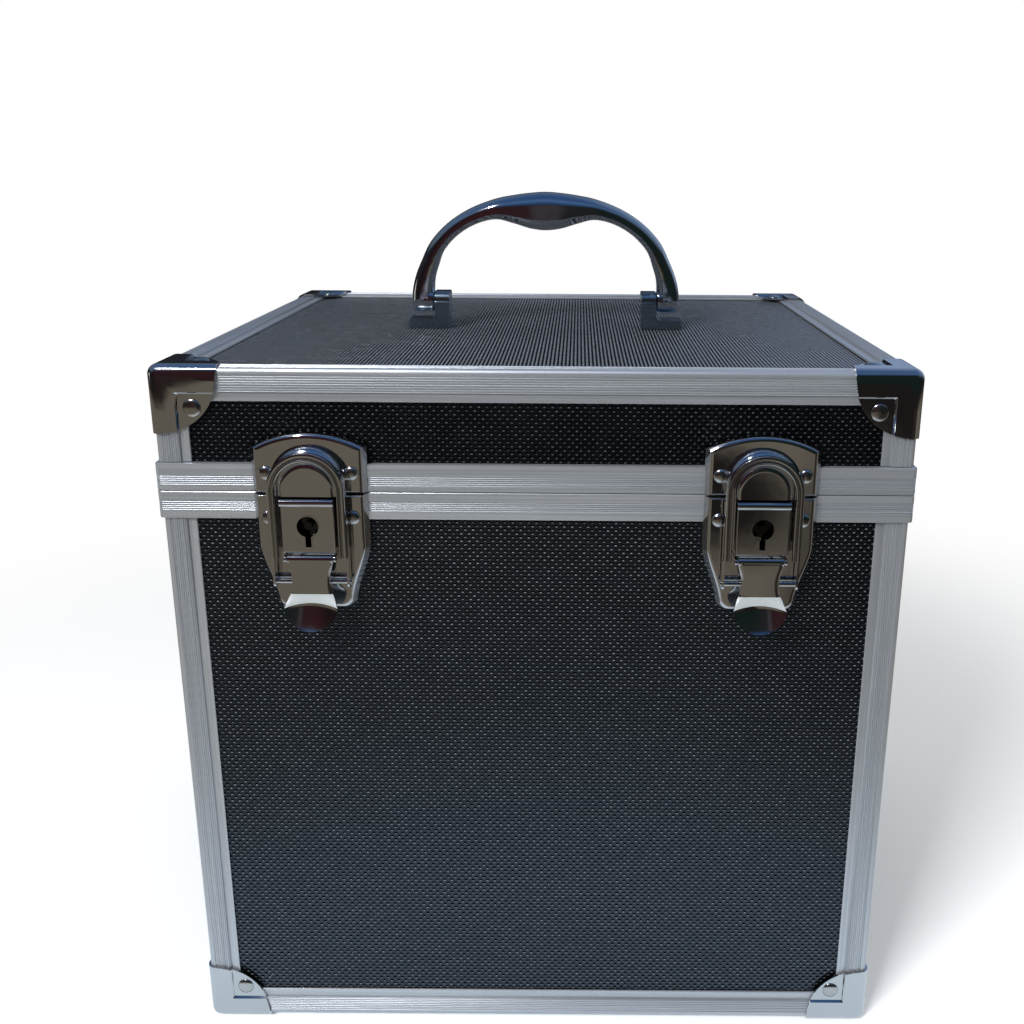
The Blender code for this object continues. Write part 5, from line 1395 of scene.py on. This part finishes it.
def lock_ear_outline():
    """Side view of an ear that carries the lever's axle: distance out, height."""
    low = (PLATE_MIDDLE, -AXLE_DROP - LOCK_EAR_RADIUS)
    high = (PLATE_MIDDLE, LOCK_EAR_RADIUS - AXLE_DROP)
    return [low] + arc_points((AXLE_OUT, -AXLE_DROP), LOCK_EAR_RADIUS, -90, 90, 16) + [high]


def lock_plate_solid():
    """Lock plate with its housing and the ears that carry the lever."""
    solid = pan_solid(lock_outline)
    levels = shouldered_levels(housing_outline, PLATE_MIDDLE, HOUSING_FRONT, HOUSING_ROUND, HOUSING_ROUND, 6)
    solid = joined(solid, add_out_stack, levels)
    lip = keyhole_outline(KEYHOLE_LIP)
    lip_front = HOUSING_FRONT + KEYHOLE_LIP_HEIGHT
    solid = joined(solid, add_out_prism, [lip], HOUSING_FRONT - FIT_GAP, lip_front)
    base = (-HOUSING_HALF_WIDTH, -ROLL_OUT, -PLATE_GAP - ROLL_RADIUS)
    length = HOUSING_HALF_WIDTH * 2
    solid = joined(solid, add_cylinder, base, (1, 0, 0), ROLL_RADIUS, length, ROUND_SEGMENTS, ROLL_SOFT)
    for sign in (-1, 1):
        inner = sign * LOCK_EAR_INNER
        solid = joined(solid, add_cross_prism, [lock_ear_outline()], inner, inner + sign * LOCK_EAR_SHEET)
    half = HOUSING_HALF_WIDTH - PLATE_SHEET
    top = -PLATE_GAP - PLATE_SHEET - ROLL_RADIUS
    cavity = box_points((-half, PLATE_SHEET - HOUSING_BOTTOM), (half, top))
    solid = cut(solid, add_out_prism, [cavity], PLATE_FRONT, HOUSING_FRONT - PLATE_SHEET)
    inner = HOUSING_FRONT - PLATE_SHEET * 2
    solid = cut(solid, add_out_prism, [keyhole_outline(0)], inner, HOUSING_FRONT + CUT_OVERRUN)
    base = (0, 0, -KEYHOLE_DROP)
    length = PLATE_FRONT + FIT_GAP
    solid = cut(solid, add_cylinder, base, (0, -1, 0), LOCK_BORE_RADIUS, length, PIN_SEGMENTS)
    return cut(solid, add_rim_room, UPWARD["base"])


def lever_axle():
    reach = LOCK_EAR_INNER + LOCK_EAR_SHEET
    base = (-reach, -AXLE_OUT, -AXLE_DROP)
    return made(add_cylinder, base, (1, 0, 0), AXLE_RADIUS, reach * 2, PIN_SEGMENTS, PIN_SOFT)


def lever_stations():
    """Stations down the lever's front face: height, distance out, half width, dish of the face."""
    stations = []
    steps = 8
    for step in range(steps + 1):
        share = step / steps
        drop = AXLE_DROP + (LEVER_WAIST_DROP - AXLE_DROP) * share
        half = LEVER_TOP_HALF_WIDTH + (LEVER_WAIST_HALF_WIDTH - LEVER_TOP_HALF_WIDTH) * eased(share)
        stations.append((-drop, LEVER_FRONT, half, 0))
    steps = 6
    for step in range(1, steps + 1):
        share = step / steps
        drop = LEVER_WAIST_DROP + (LEVER_NECK_END - LEVER_WAIST_DROP) * share
        half = LEVER_WAIST_HALF_WIDTH + (LEVER_NECK_HALF_WIDTH - LEVER_WAIST_HALF_WIDTH) * share * share
        stations.append((-drop, LEVER_FRONT, half, 0))
    steps = 8
    for step in range(1, steps + 1):
        share = step / steps
        drop = LEVER_NECK_END + (LEVER_TAB_START - LEVER_NECK_END) * share
        half = LEVER_NECK_HALF_WIDTH + (LEVER_TAB_HALF_WIDTH - LEVER_NECK_HALF_WIDTH) * share
        out = LEVER_FRONT + (LEVER_TAB_OUT - LEVER_FRONT) * eased(share)
        stations.append((-drop, out, half, LEVER_DISH * eased(share)))
    length = LEVER_TIP - LEVER_TAB_START
    steps = 18
    for step in range(1, steps + 1):
        turn = LEVER_TIP_TURN * step / steps
        share = math.sin(turn)
        drop = LEVER_TAB_START + length * share
        rise = share + LEVER_TAB_EASE * (share ** 3 - share)
        out = LEVER_TAB_OUT + (LEVER_TIP_OUT - LEVER_TAB_OUT) * rise
        stations.append((-drop, out, LEVER_TAB_HALF_WIDTH * math.cos(turn), LEVER_DISH))
    return stations


def lever_bow(drop):
    """How far a row of the lever arches down at its sides: none at the neck, most where the spoon starts."""
    if drop < LEVER_TAB_START:
        return LEVER_BOW * eased(max(0, (drop - LEVER_NECK_END) / (LEVER_TAB_START - LEVER_NECK_END)))
    return LEVER_BOW * (LEVER_TIP - drop) / (LEVER_TIP - LEVER_TAB_START)


def lever_solid():
    """The lever: a bent sheet with a rolled top, ears for the bail's pins, and a front bend in satin chrome
    that paints a pale sheen.
    """
    levels = []
    columns = 28
    for height, out, half, dish in lever_stations():
        bow = lever_bow(-height) / LEVER_TAB_HALF_WIDTH ** 2
        fading = min(1, max(0, (LEVER_TAB_START + height) / LEVER_SIDE_FADE))
        front = []
        for column in range(columns + 1):
            across = column / columns * 2 - 1
            round_share = (across * half / LEVER_TAB_HALF_WIDTH) ** 2
            if height < -LEVER_TAB_START:
                round_share += ((-height - LEVER_TAB_START) / (LEVER_TIP - LEVER_TAB_START)) ** 2
            side = max(abs(across) * half - half + LEVER_SIDE_ROUND, 0) / LEVER_SIDE_ROUND
            fall = LEVER_SIDE_FALL * side * side * fading
            front.append((across * half, out - dish * (1 - min(round_share, 1)) - fall))
        back = [(x, at - LEVER_SHEET) for x, at in reversed(front)]
        levels.append([[(x, -at, height - bow * x * x) for x, at in front + back]])
    base = (-LEVER_TOP_HALF_WIDTH, -AXLE_OUT, -AXLE_DROP)
    length = LEVER_TOP_HALF_WIDTH * 2
    solid = made(add_stack, levels)
    solid = joined(solid, add_cylinder, base, (1, 0, 0), LEVER_ROLL_RADIUS, length, ROUND_SEGMENTS, PIN_SOFT)
    pin = (BAIL_PIN_OUT, -BAIL_PIN_DROP)
    plate_back = LEVER_FRONT - LEVER_SHEET / 2
    outline = arc_points(pin, LEVER_EAR_RADIUS, 90, 270, 16)
    outline += [(plate_back, -BAIL_PIN_DROP + side * LEVER_EAR_RADIUS) for side in (-1, 1)]
    hole = circle_points(pin, BAIL_PIN_RADIUS + AXLE_CLEARANCE, PIN_SEGMENTS)
    for sign in (-1, 1):
        inner = sign * LEVER_EAR_INNER
        solid = joined(solid, add_cross_prism, [outline, hole], inner, inner + sign * LEVER_EAR_SHEET)
    reach = LEVER_TOP_HALF_WIDTH + CUT_OVERRUN
    base = (-reach, -AXLE_OUT, -AXLE_DROP)
    radius = AXLE_RADIUS + AXLE_CLEARANCE
    solid = cut(solid, add_cylinder, base, (1, 0, 0), radius, reach * 2, PIN_SEGMENTS)
    solid.normal_update()
    # Front faces of the bend take the satin chrome: a painted pale band of sheen
    for face in solid.faces:
        middle = face.calc_center_median()
        spoon_start = LEVER_TAB_START + LEVER_BOW * (middle.x / LEVER_TAB_HALF_WIDTH) ** 2
        on_bend = -spoon_start < middle.z < -LEVER_NECK_END
        face.material_index = 1 if on_bend and face.normal.y < LEVER_FRONT_FACING else 0
    return solid


def bail_stations():
    """Pairs of points (x, z) on the bow's inner and outer edge, from one leg round to the other."""
    inner_centre = BAIL_INNER_APEX - BAIL_INNER_HALF_WIDTH
    outer_centre = BAIL_APEX - BAIL_HALF_WIDTH
    inner = arc_points((0, inner_centre), BAIL_INNER_HALF_WIDTH, 0, 180, FINE_SEGMENTS)
    outer = arc_points((0, outer_centre), BAIL_HALF_WIDTH, 0, 180, FINE_SEGMENTS)
    first = ((BAIL_INNER_HALF_WIDTH, -BAIL_FLANGE_END), (BAIL_HALF_WIDTH, -BAIL_FLANGE_END))
    last = ((-BAIL_INNER_HALF_WIDTH, -BAIL_FLANGE_END), (-BAIL_HALF_WIDTH, -BAIL_FLANGE_END))
    return [first] + list(zip(inner, outer)) + [last]


def bail_skirt_outline():
    """Side view of one leg's skirt, down to the eye round its pin: distance out, height."""
    middle = (BAIL_UNDERSIDE + BAIL_SHOULDER) / 2
    pin = (BAIL_PIN_OUT, -BAIL_PIN_DROP)
    outline = [(BAIL_SKIRT_BOTTOM, -PLATE_GAP - FIT_GAP), (BAIL_SKIRT_BOTTOM, -BAIL_FLANGE_END)]
    outline += arc_points(pin, BAIL_EYE_RADIUS, 180 - BAIL_EYE_SPREAD, 360 + BAIL_EYE_SPREAD, 20)
    outline += [(middle, -BAIL_FLANGE_END), (middle, -PLATE_GAP - FIT_GAP)]
    return outline


def bail_solid():
    """The draw bail: a grooved bow, two side skirts and the pins in the lever's ears."""
    levels = []
    for inner, outer in bail_stations():
        loop = []
        for across, rise in BAIL_SECTION_SHARES:
            x, z = Vector(inner).lerp(Vector(outer), across)
            loop.append((x, -(BAIL_UNDERSIDE + (BAIL_FRONT - BAIL_UNDERSIDE) * rise), z))
        levels.append([loop])
    solid = made(add_stack, levels)
    for sign in (-1, 1):
        outer = sign * (BAIL_HALF_WIDTH - BAIL_SKIRT_INSET)
        inner = sign * (BAIL_HALF_WIDTH - BAIL_SKIRT_SHEET)
        solid = joined(solid, add_cross_prism, [bail_skirt_outline()], inner, outer)
        length = BAIL_HALF_WIDTH - BAIL_PIN_INNER + FIT_GAP
        base = (sign * BAIL_PIN_INNER, -BAIL_PIN_OUT, -BAIL_PIN_DROP)
        pin = (base, (sign, 0, 0), BAIL_PIN_RADIUS, length, PIN_SEGMENTS, PIN_SOFT)
        solid = joined(solid, add_cylinder, *pin)
    return solid


def make_latches():
    """Both latches. Rivets and axles are parts of a plate in the model, so they stand for no node."""
    for name, centre in LATCHES.items():
        middle = Vector((centre, CENTRE_Y - HALF_Y, SPLIT))
        pieces = (
            ("keeper", keeper_solid(), CHROME, "lid", FINE_BEVEL),
            ("keeper_rivets", plate_rivets(KEEPER_RIVET_RISE), RIVET_CHROME, "lid", 0),
            ("lock_plate", lock_plate_solid(), CHROME, "base", FINE_BEVEL),
            ("lock_plate_rivets", plate_rivets(-LOCK_RIVET_DROP), RIVET_CHROME, "base", 0),
            ("lever_axle", lever_axle(), CHROME, "base", 0),
            ("lever", lever_solid(), (CHROME, SATIN_CHROME_PAINTED_SHEEN), f"{name}_lever", SHEET_BEVEL),
            ("bail", bail_solid(), CHROME, f"{name}_bail", FINE_BEVEL),
        )
        for kind, solid, material, body, bevel in pieces:
            bmesh.ops.translate(solid, verts=solid.verts, vec=middle)
            node = f"{name}_{kind}"
            nodes = [node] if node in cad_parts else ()
            make_piece(f"fine_{node}", solid, material, body, nodes, bevel)


# Lining


def make_lining(body):
    """An open foam box with soft edges and walls that swell a little between the corners."""
    low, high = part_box(f"{body}_lining")
    floor, brim = (low.z, high.z) if body == "base" else (high.z, low.z)
    turn = 1 if brim > floor else -1
    soft = LINING_THICKNESS / 2
    depth = abs(brim - floor)
    brim_start = depth - soft
    rows = [(0, 0), (0, brim_start)]
    for turned in LINING_BRIM_TURNS:
        rows.append((soft - soft * math.cos(turned), brim_start + soft * math.sin(turned)))
    steps = 10
    for step in range(steps + 1):
        share = step / steps
        swell = LINING_SWELL * math.sin(math.pi * share)
        fillet = LINING_FILLET * max(0, share * 4 - 3) ** 2
        rows.append((LINING_THICKNESS + swell + fillet, brim_start - (brim_start - LINING_THICKNESS) * share))
    levels = []
    for inset, height in rows:
        radius = LINING_CORNER if inset >= LINING_THICKNESS else LINING_CORNER / 2
        loop = round_rectangle(low, high, inset, radius)
        levels.append([[(x, y, floor + turn * height) for x, y in loop]])
    name = f"{body}_lining"
    piece = make_piece(f"fine_{name}", made(add_stack, levels), FOAM, body, [name])


# Stage, light and camera


def mesh_object(name, verts, faces, material):
    mesh = bpy.data.meshes.new(name)
    mesh.from_pydata(verts, [], faces)
    mesh.materials.append(material)
    staged = bpy.data.objects.new(name, mesh)
    bpy.context.scene.collection.objects.link(staged)
    return staged


FLOOR_REACH = 30
FLOOR_FADE = (0.32, 0.95)
FLOOR_COLOUR = (0.86, 0.87, 0.88, 1)


def make_floor():
    """A pale floor that keeps the shadow near the case and is seen as plain white further off."""
    graph = Graph("floor")
    _, parts = graph.place()
    far = graph.smooth_step(graph.length(parts[0], parts[1]), *FLOOR_FADE)
    seen = graph.add("ShaderNodeLightPath").outputs["Is Camera Ray"]
    white = graph.add("ShaderNodeEmission", {"Color": (1, 1, 1, 1), "Strength": 1.0})
    blend = graph.add("ShaderNodeMixShader", {0: graph.math("MULTIPLY", far, seen)})
    graph.feed(blend.inputs[1], graph.shader.outputs[0])
    graph.feed(blend.inputs[2], white.outputs[0])
    graph.feed(graph.tree.nodes["Material Output"].inputs[0], blend.outputs[0])
    material = graph.finish(Base_Color=FLOOR_COLOUR, Roughness=0.75)
    square = box_points((-FLOOR_REACH, -FLOOR_REACH), (FLOOR_REACH, FLOOR_REACH))
    corners = [(x, y, 0) for x, y in square]
    floor = mesh_object("floor", corners, [(0, 1, 2, 3)], material)
    floor.location.z = -FIT_GAP


# What bright metal mirrors: a flat disc of ground and a dome of sky that stands on its rim
SURROUND_REACH = 2.4
SURROUND_MIDDLE = 0.28
SURROUND_DISC = ((0.02, 0.001), (0.3, 0.001), (0.6, 0.001), (1.2, 0.003), (1.8, 0.01), (2.35, 0.03))
SKY_START = (0.03, 0.12)

# The ground's colours, by the share of the disc's reach
GROUND_STOPS = (
    (0.000, (0.60, 0.71, 0.80)),
    (0.082, (0.62, 0.73, 0.82)),
    (0.110, (0.70, 0.82, 0.92)),
    (0.140, (0.62, 0.70, 0.78)),
    (0.190, (0.36, 0.36, 0.34)),
    (0.260, (0.165, 0.147, 0.115)),
    (0.860, (0.165, 0.147, 0.115)),
    (0.950, (0.030, 0.024, 0.020)),
    (1.000, (0.012, 0.010, 0.010)),
)

# Shadows on the ground: the middle's x and y, and half the width along x and y
GROUND_SHADOWS = (
    (0.17, -1.22, 0.16, 0.30),
    (0.74, -1.90, 0.30, 0.50),
)
GROUND_SHADOW_FADE = (0.6, 1.3)
GROUND_SHADE = (0.016, 0.013, 0.013)

# Dark sectors of the ground: degrees from the front where each starts, is full, fades and ends
SIDE_SHADES = (
    (14, 20, 56, 64),
    (108, 116, 150, 170),
)
SIDE_SHADE = 0.92
SIDE_SHADE_START = (0.35, 0.7)

# The sky's colours by degrees above the horizon: in front, behind, and behind on the right
SKY_SPAN = (-20, 90)
FRONT_STOPS = (
    (-10, (0.020, 0.015, 0.013)),
    (-1, (0.012, 0.008, 0.008)),
    (22, (0.022, 0.010, 0.011)),
    (38, (0.030, 0.013, 0.014)),
    (43, (0.022, 0.050, 0.110)),
    (58, (0.045, 0.120, 0.290)),
    (68, (0.110, 0.320, 0.700)),
    (90, (0.060, 0.180, 0.440)),
)
BACK_STOPS = (
    (-10, (0.020, 0.018, 0.018)),
    (2, (0.012, 0.012, 0.014)),
    (17, (0.022, 0.026, 0.034)),
    (26, (0.110, 0.150, 0.210)),
    (45, (0.100, 0.170, 0.300)),
    (90, (0.030, 0.085, 0.240)),
)
PALE_STOPS = (
    (-10, (0.030, 0.030, 0.030)),
    (2, (0.060, 0.075, 0.100)),
    (10, (0.260, 0.350, 0.520)),
    (30, (0.220, 0.320, 0.500)),
    (90, (0.030, 0.085, 0.240)),
)

# Colours of things that stand in front, from left to right, and how they fade out upward
FRONT_TINTS = (
    (-0.60, (0.016, 0.010, 0.012)),
    (-0.30, (0.050, 0.017, 0.020)),
    (-0.08, (0.040, 0.020, 0.024)),
    (-0.02, (0.070, 0.067, 0.073)),
    (0.04, (0.024, 0.026, 0.028)),
    (0.30, (0.008, 0.022, 0.020)),
)
FRONT_TINT_FADE = (38, 43, 0.75, 0.0)

# A pale thing far on the left, and the glow round the sun
LEFT_GLARE = (0.80, 0.79, 0.76)
LEFT_GLARE_EDGE = (0.985, 0.997)
LEFT_GLARE_TOP = (12, 20, 1.0, 0.0)
HALO_DIRECTION = (-0.361, -0.388, 0.848)
HALO_REACH = math.radians(9)
HALO_CORE = math.radians(1)
HALO_COLOUR = (0.96, 1.0, 1.0)


def colour_ramp(graph, value, stops, low, high):
    """Colours at places between low and high along a value."""
    share = graph.math("MULTIPLY_ADD", value, 1 / (high - low), -low / (high - low))
    ramp = graph.add("ShaderNodeValToRGB", {0: share})
    elements = ramp.color_ramp.elements
    while len(elements) < len(stops):
        elements.new(0.5)
    for element, (place, colour) in zip(elements, stops):
        element.position = (place - low) / (high - low)
        element.color = (*colour, 1)
    return ramp.outputs[0]


def ground_colour(graph, parts):
    """Rings of colour round the case, two shadows in front and two dark sectors to the right."""
    radius = graph.length(parts[0], parts[1])
    ground = colour_ramp(graph, graph.math("MULTIPLY", radius, 1 / SURROUND_REACH), GROUND_STOPS, 0, 1)
    for x, y, half_x, half_y in GROUND_SHADOWS:
        across = graph.math("MULTIPLY_ADD", parts[0], 1 / half_x, -x / half_x)
        away = graph.math("MULTIPLY_ADD", parts[1], 1 / half_y, -y / half_y)
        shade = graph.smooth_step(graph.length(across, away), *GROUND_SHADOW_FADE, 1.0, 0.0)
        ground = graph.mix(shade, ground, GROUND_SHADE)
    turned = graph.math("ARCTAN2", parts[0], graph.math("MULTIPLY", parts[1], -1.0))
    turned = graph.math("MULTIPLY", turned, 180 / math.pi)
    distant = graph.smooth_step(radius, *SIDE_SHADE_START, 0.0, SIDE_SHADE)
    for start, full, fading, end in SIDE_SHADES:
        shade = graph.math("MULTIPLY", graph.smooth_step(turned, start, full), distant)
        shade = graph.math("MULTIPLY", shade, graph.smooth_step(turned, fading, end, 1.0, 0.0))
        ground = graph.mix(shade, ground, GROUND_SHADE)
    return ground


def sky_colour(graph, point):
    """Colours by the direction in which a point of the dome is seen from the case."""
    middle = (0, 0, SURROUND_MIDDLE)
    arm = graph.add("ShaderNodeVectorMath", {0: point, 1: middle}, operation="SUBTRACT").outputs[0]
    ahead = graph.add("ShaderNodeVectorMath", {0: arm}, operation="NORMALIZE").outputs[0]
    heading = graph.add("ShaderNodeSeparateXYZ", {"Vector": ahead}).outputs
    climb = graph.math("MULTIPLY", graph.math("ARCSINE", heading[2]), 180 / math.pi)
    before = colour_ramp(graph, climb, FRONT_STOPS, *SKY_SPAN)
    tint = colour_ramp(graph, heading[0], FRONT_TINTS, -1, 1)
    before = graph.mix(graph.smooth_step(climb, *FRONT_TINT_FADE), before, tint)
    behind = colour_ramp(graph, climb, BACK_STOPS, *SKY_SPAN)
    pale = colour_ramp(graph, climb, PALE_STOPS, *SKY_SPAN)
    rearward = graph.smooth_step(heading[1], 0.0, 0.25)
    rightward = graph.smooth_step(heading[0], 0.05, 0.35)
    behind = graph.mix(graph.math("MULTIPLY", rightward, rearward), behind, pale)
    facing = graph.smooth_step(graph.math("MULTIPLY", heading[1], -1.0), 0.25, 0.7)
    sky = graph.mix(facing, behind, before)
    leftward = graph.smooth_step(graph.math("MULTIPLY", heading[0], -1.0), *LEFT_GLARE_EDGE)
    low = graph.smooth_step(climb, *LEFT_GLARE_TOP)
    sky = graph.mix(graph.math("MULTIPLY", leftward, low), sky, LEFT_GLARE)
    halo = Vector(HALO_DIRECTION).normalized()
    toward = graph.add("ShaderNodeVectorMath", {0: ahead, 1: halo}, operation="DOT_PRODUCT").outputs["Value"]
    glare = graph.smooth_step(toward, math.cos(HALO_REACH), math.cos(HALO_CORE))
    return graph.mix(graph.math("MULTIPLY", glare, glare), sky, HALO_COLOUR)


def surround_material():
    graph = Graph("surround")
    point, parts = graph.place()
    rise = graph.smooth_step(parts[2], *SKY_START)
    colour = graph.mix(rise, ground_colour(graph, parts), sky_colour(graph, point))
    glow = graph.add("ShaderNodeEmission", {"Color": colour, "Strength": 1.0})
    graph.feed(graph.tree.nodes["Material Output"].inputs[0], glow.outputs[0])
    return graph.material


def make_surround():
    """The disc of ground and the dome of sky. Only bright metal sees them."""
    profile = list(SURROUND_DISC) + arc_points((0, 0), SURROUND_REACH, 2, 86, 21)
    segments = 64
    verts = []
    for ring_radius, height in profile:
        verts += [(x, y, height) for x, y in circle_points((0, 0), ring_radius, segments)]
    faces = [tuple((len(profile) - 1) * segments + index for index in range(segments))]
    for ring in range(len(profile) - 1):
        for index in range(segments):
            after = (index + 1) % segments
            corners = (index, after, after + segments, index + segments)
            faces.append(tuple(ring * segments + corner for corner in corners))
    surround = mesh_object("surround", verts, faces, surround_material())
    surround.visible_camera = False
    surround.visible_diffuse = False
    surround.visible_shadow = False
    surround.visible_transmission = False


# Lamps: name, place, point aimed at, size, power, colour, and True where it only makes highlights
LAMPS = (
    ("glint", (-0.72, -0.80, 1.96), (0, 0, 0.25), (0.13, 0.13), 26, (1, 1, 1), True),
    ("key", (-0.80, -1.45, 1.35), (0, 0, 0.2), (0.6, 0.6), 48, (0.98, 0.99, 1.0), False),
    ("fill", (1.5, -1.0, 1.1), (0, 0, 0.2), (1.0, 1.0), 9, (0.92, 0.96, 1.0), False),
    ("top", (0.2, 0.5, 1.9), (0, 0, 0.3), (1.2, 0.8), 6, (1, 1, 1), False),
)
WORLD_LIGHT = 0.5
WORLD_SEEN = 1.0


def add_lamp(name, place, aim, size, power, colour, only_highlights):
    lamp = bpy.data.lights.new(name, "AREA")
    lamp.shape = "RECTANGLE"
    lamp.size, lamp.size_y = size
    lamp.energy = power
    lamp.color = colour
    holder = bpy.data.objects.new(name, lamp)
    holder.location = place
    holder.rotation_euler = (Vector(place) - Vector(aim)).to_track_quat("Z", "Y").to_euler()
    holder.visible_diffuse = not only_highlights
    holder.visible_glossy = only_highlights
    bpy.context.scene.collection.objects.link(holder)


def make_light():
    """Lamps and a white world, which is dimmer where it lights than where it is seen or mirrored."""
    for lamp in LAMPS:
        add_lamp(*lamp)
    world = bpy.data.worlds.new("studio")
    bpy.context.scene.world = world
    world.use_nodes = True
    tree = world.node_tree
    paths = tree.nodes.new("ShaderNodeLightPath")
    background = tree.nodes["Background"]
    seen = paths.outputs["Is Camera Ray"]
    for kind in ("Is Glossy Ray", "Is Transmission Ray"):
        either = tree.nodes.new("ShaderNodeMath")
        either.operation = "MAXIMUM"
        tree.links.new(seen, either.inputs[0])
        tree.links.new(paths.outputs[kind], either.inputs[1])
        seen = either.outputs[0]
    level = tree.nodes.new("ShaderNodeMapRange")
    tree.links.new(seen, level.inputs[0])
    level.inputs["To Min"].default_value = WORLD_LIGHT
    level.inputs["To Max"].default_value = WORLD_SEEN
    tree.links.new(level.outputs[0], background.inputs["Strength"])
    background.inputs["Color"].default_value = (1, 1, 1, 1)


def make_camera():
    data = bpy.data.cameras.new("camera")
    data.sensor_width = 36
    data.lens = CAMERA_LENS
    data.shift_x = CAMERA_SHIFT
    data.clip_start = 0.01
    camera = bpy.data.objects.new("camera", data)
    turn_x, turn_y, turn_z = CAMERA_TURN
    turn = Matrix.Rotation(turn_z, 4, "Z") @ Matrix.Rotation(turn_y, 4, "Y") @ Matrix.Rotation(turn_x, 4, "X")
    camera.matrix_world = Matrix.Translation(CAMERA_PLACE) @ turn @ Matrix.Rotation(math.pi / 2, 4, "X")
    bpy.context.scene.collection.objects.link(camera)
    bpy.context.scene.camera = camera


dress_nodes()
make_edges("base", "bottom", lambda drop: BODY_BOTTOM + drop)
make_edges("lid", "top", lambda drop: BODY_TOP - drop)
make_uprights()
make_rims()
make_caps()
make_handle()
make_brackets()
make_hinges()
make_latches()
make_lining("base")
make_lining("lid")
make_floor()
make_surround()
make_light()
make_camera()
bpy.context.scene.view_settings.view_transform = "Standard"
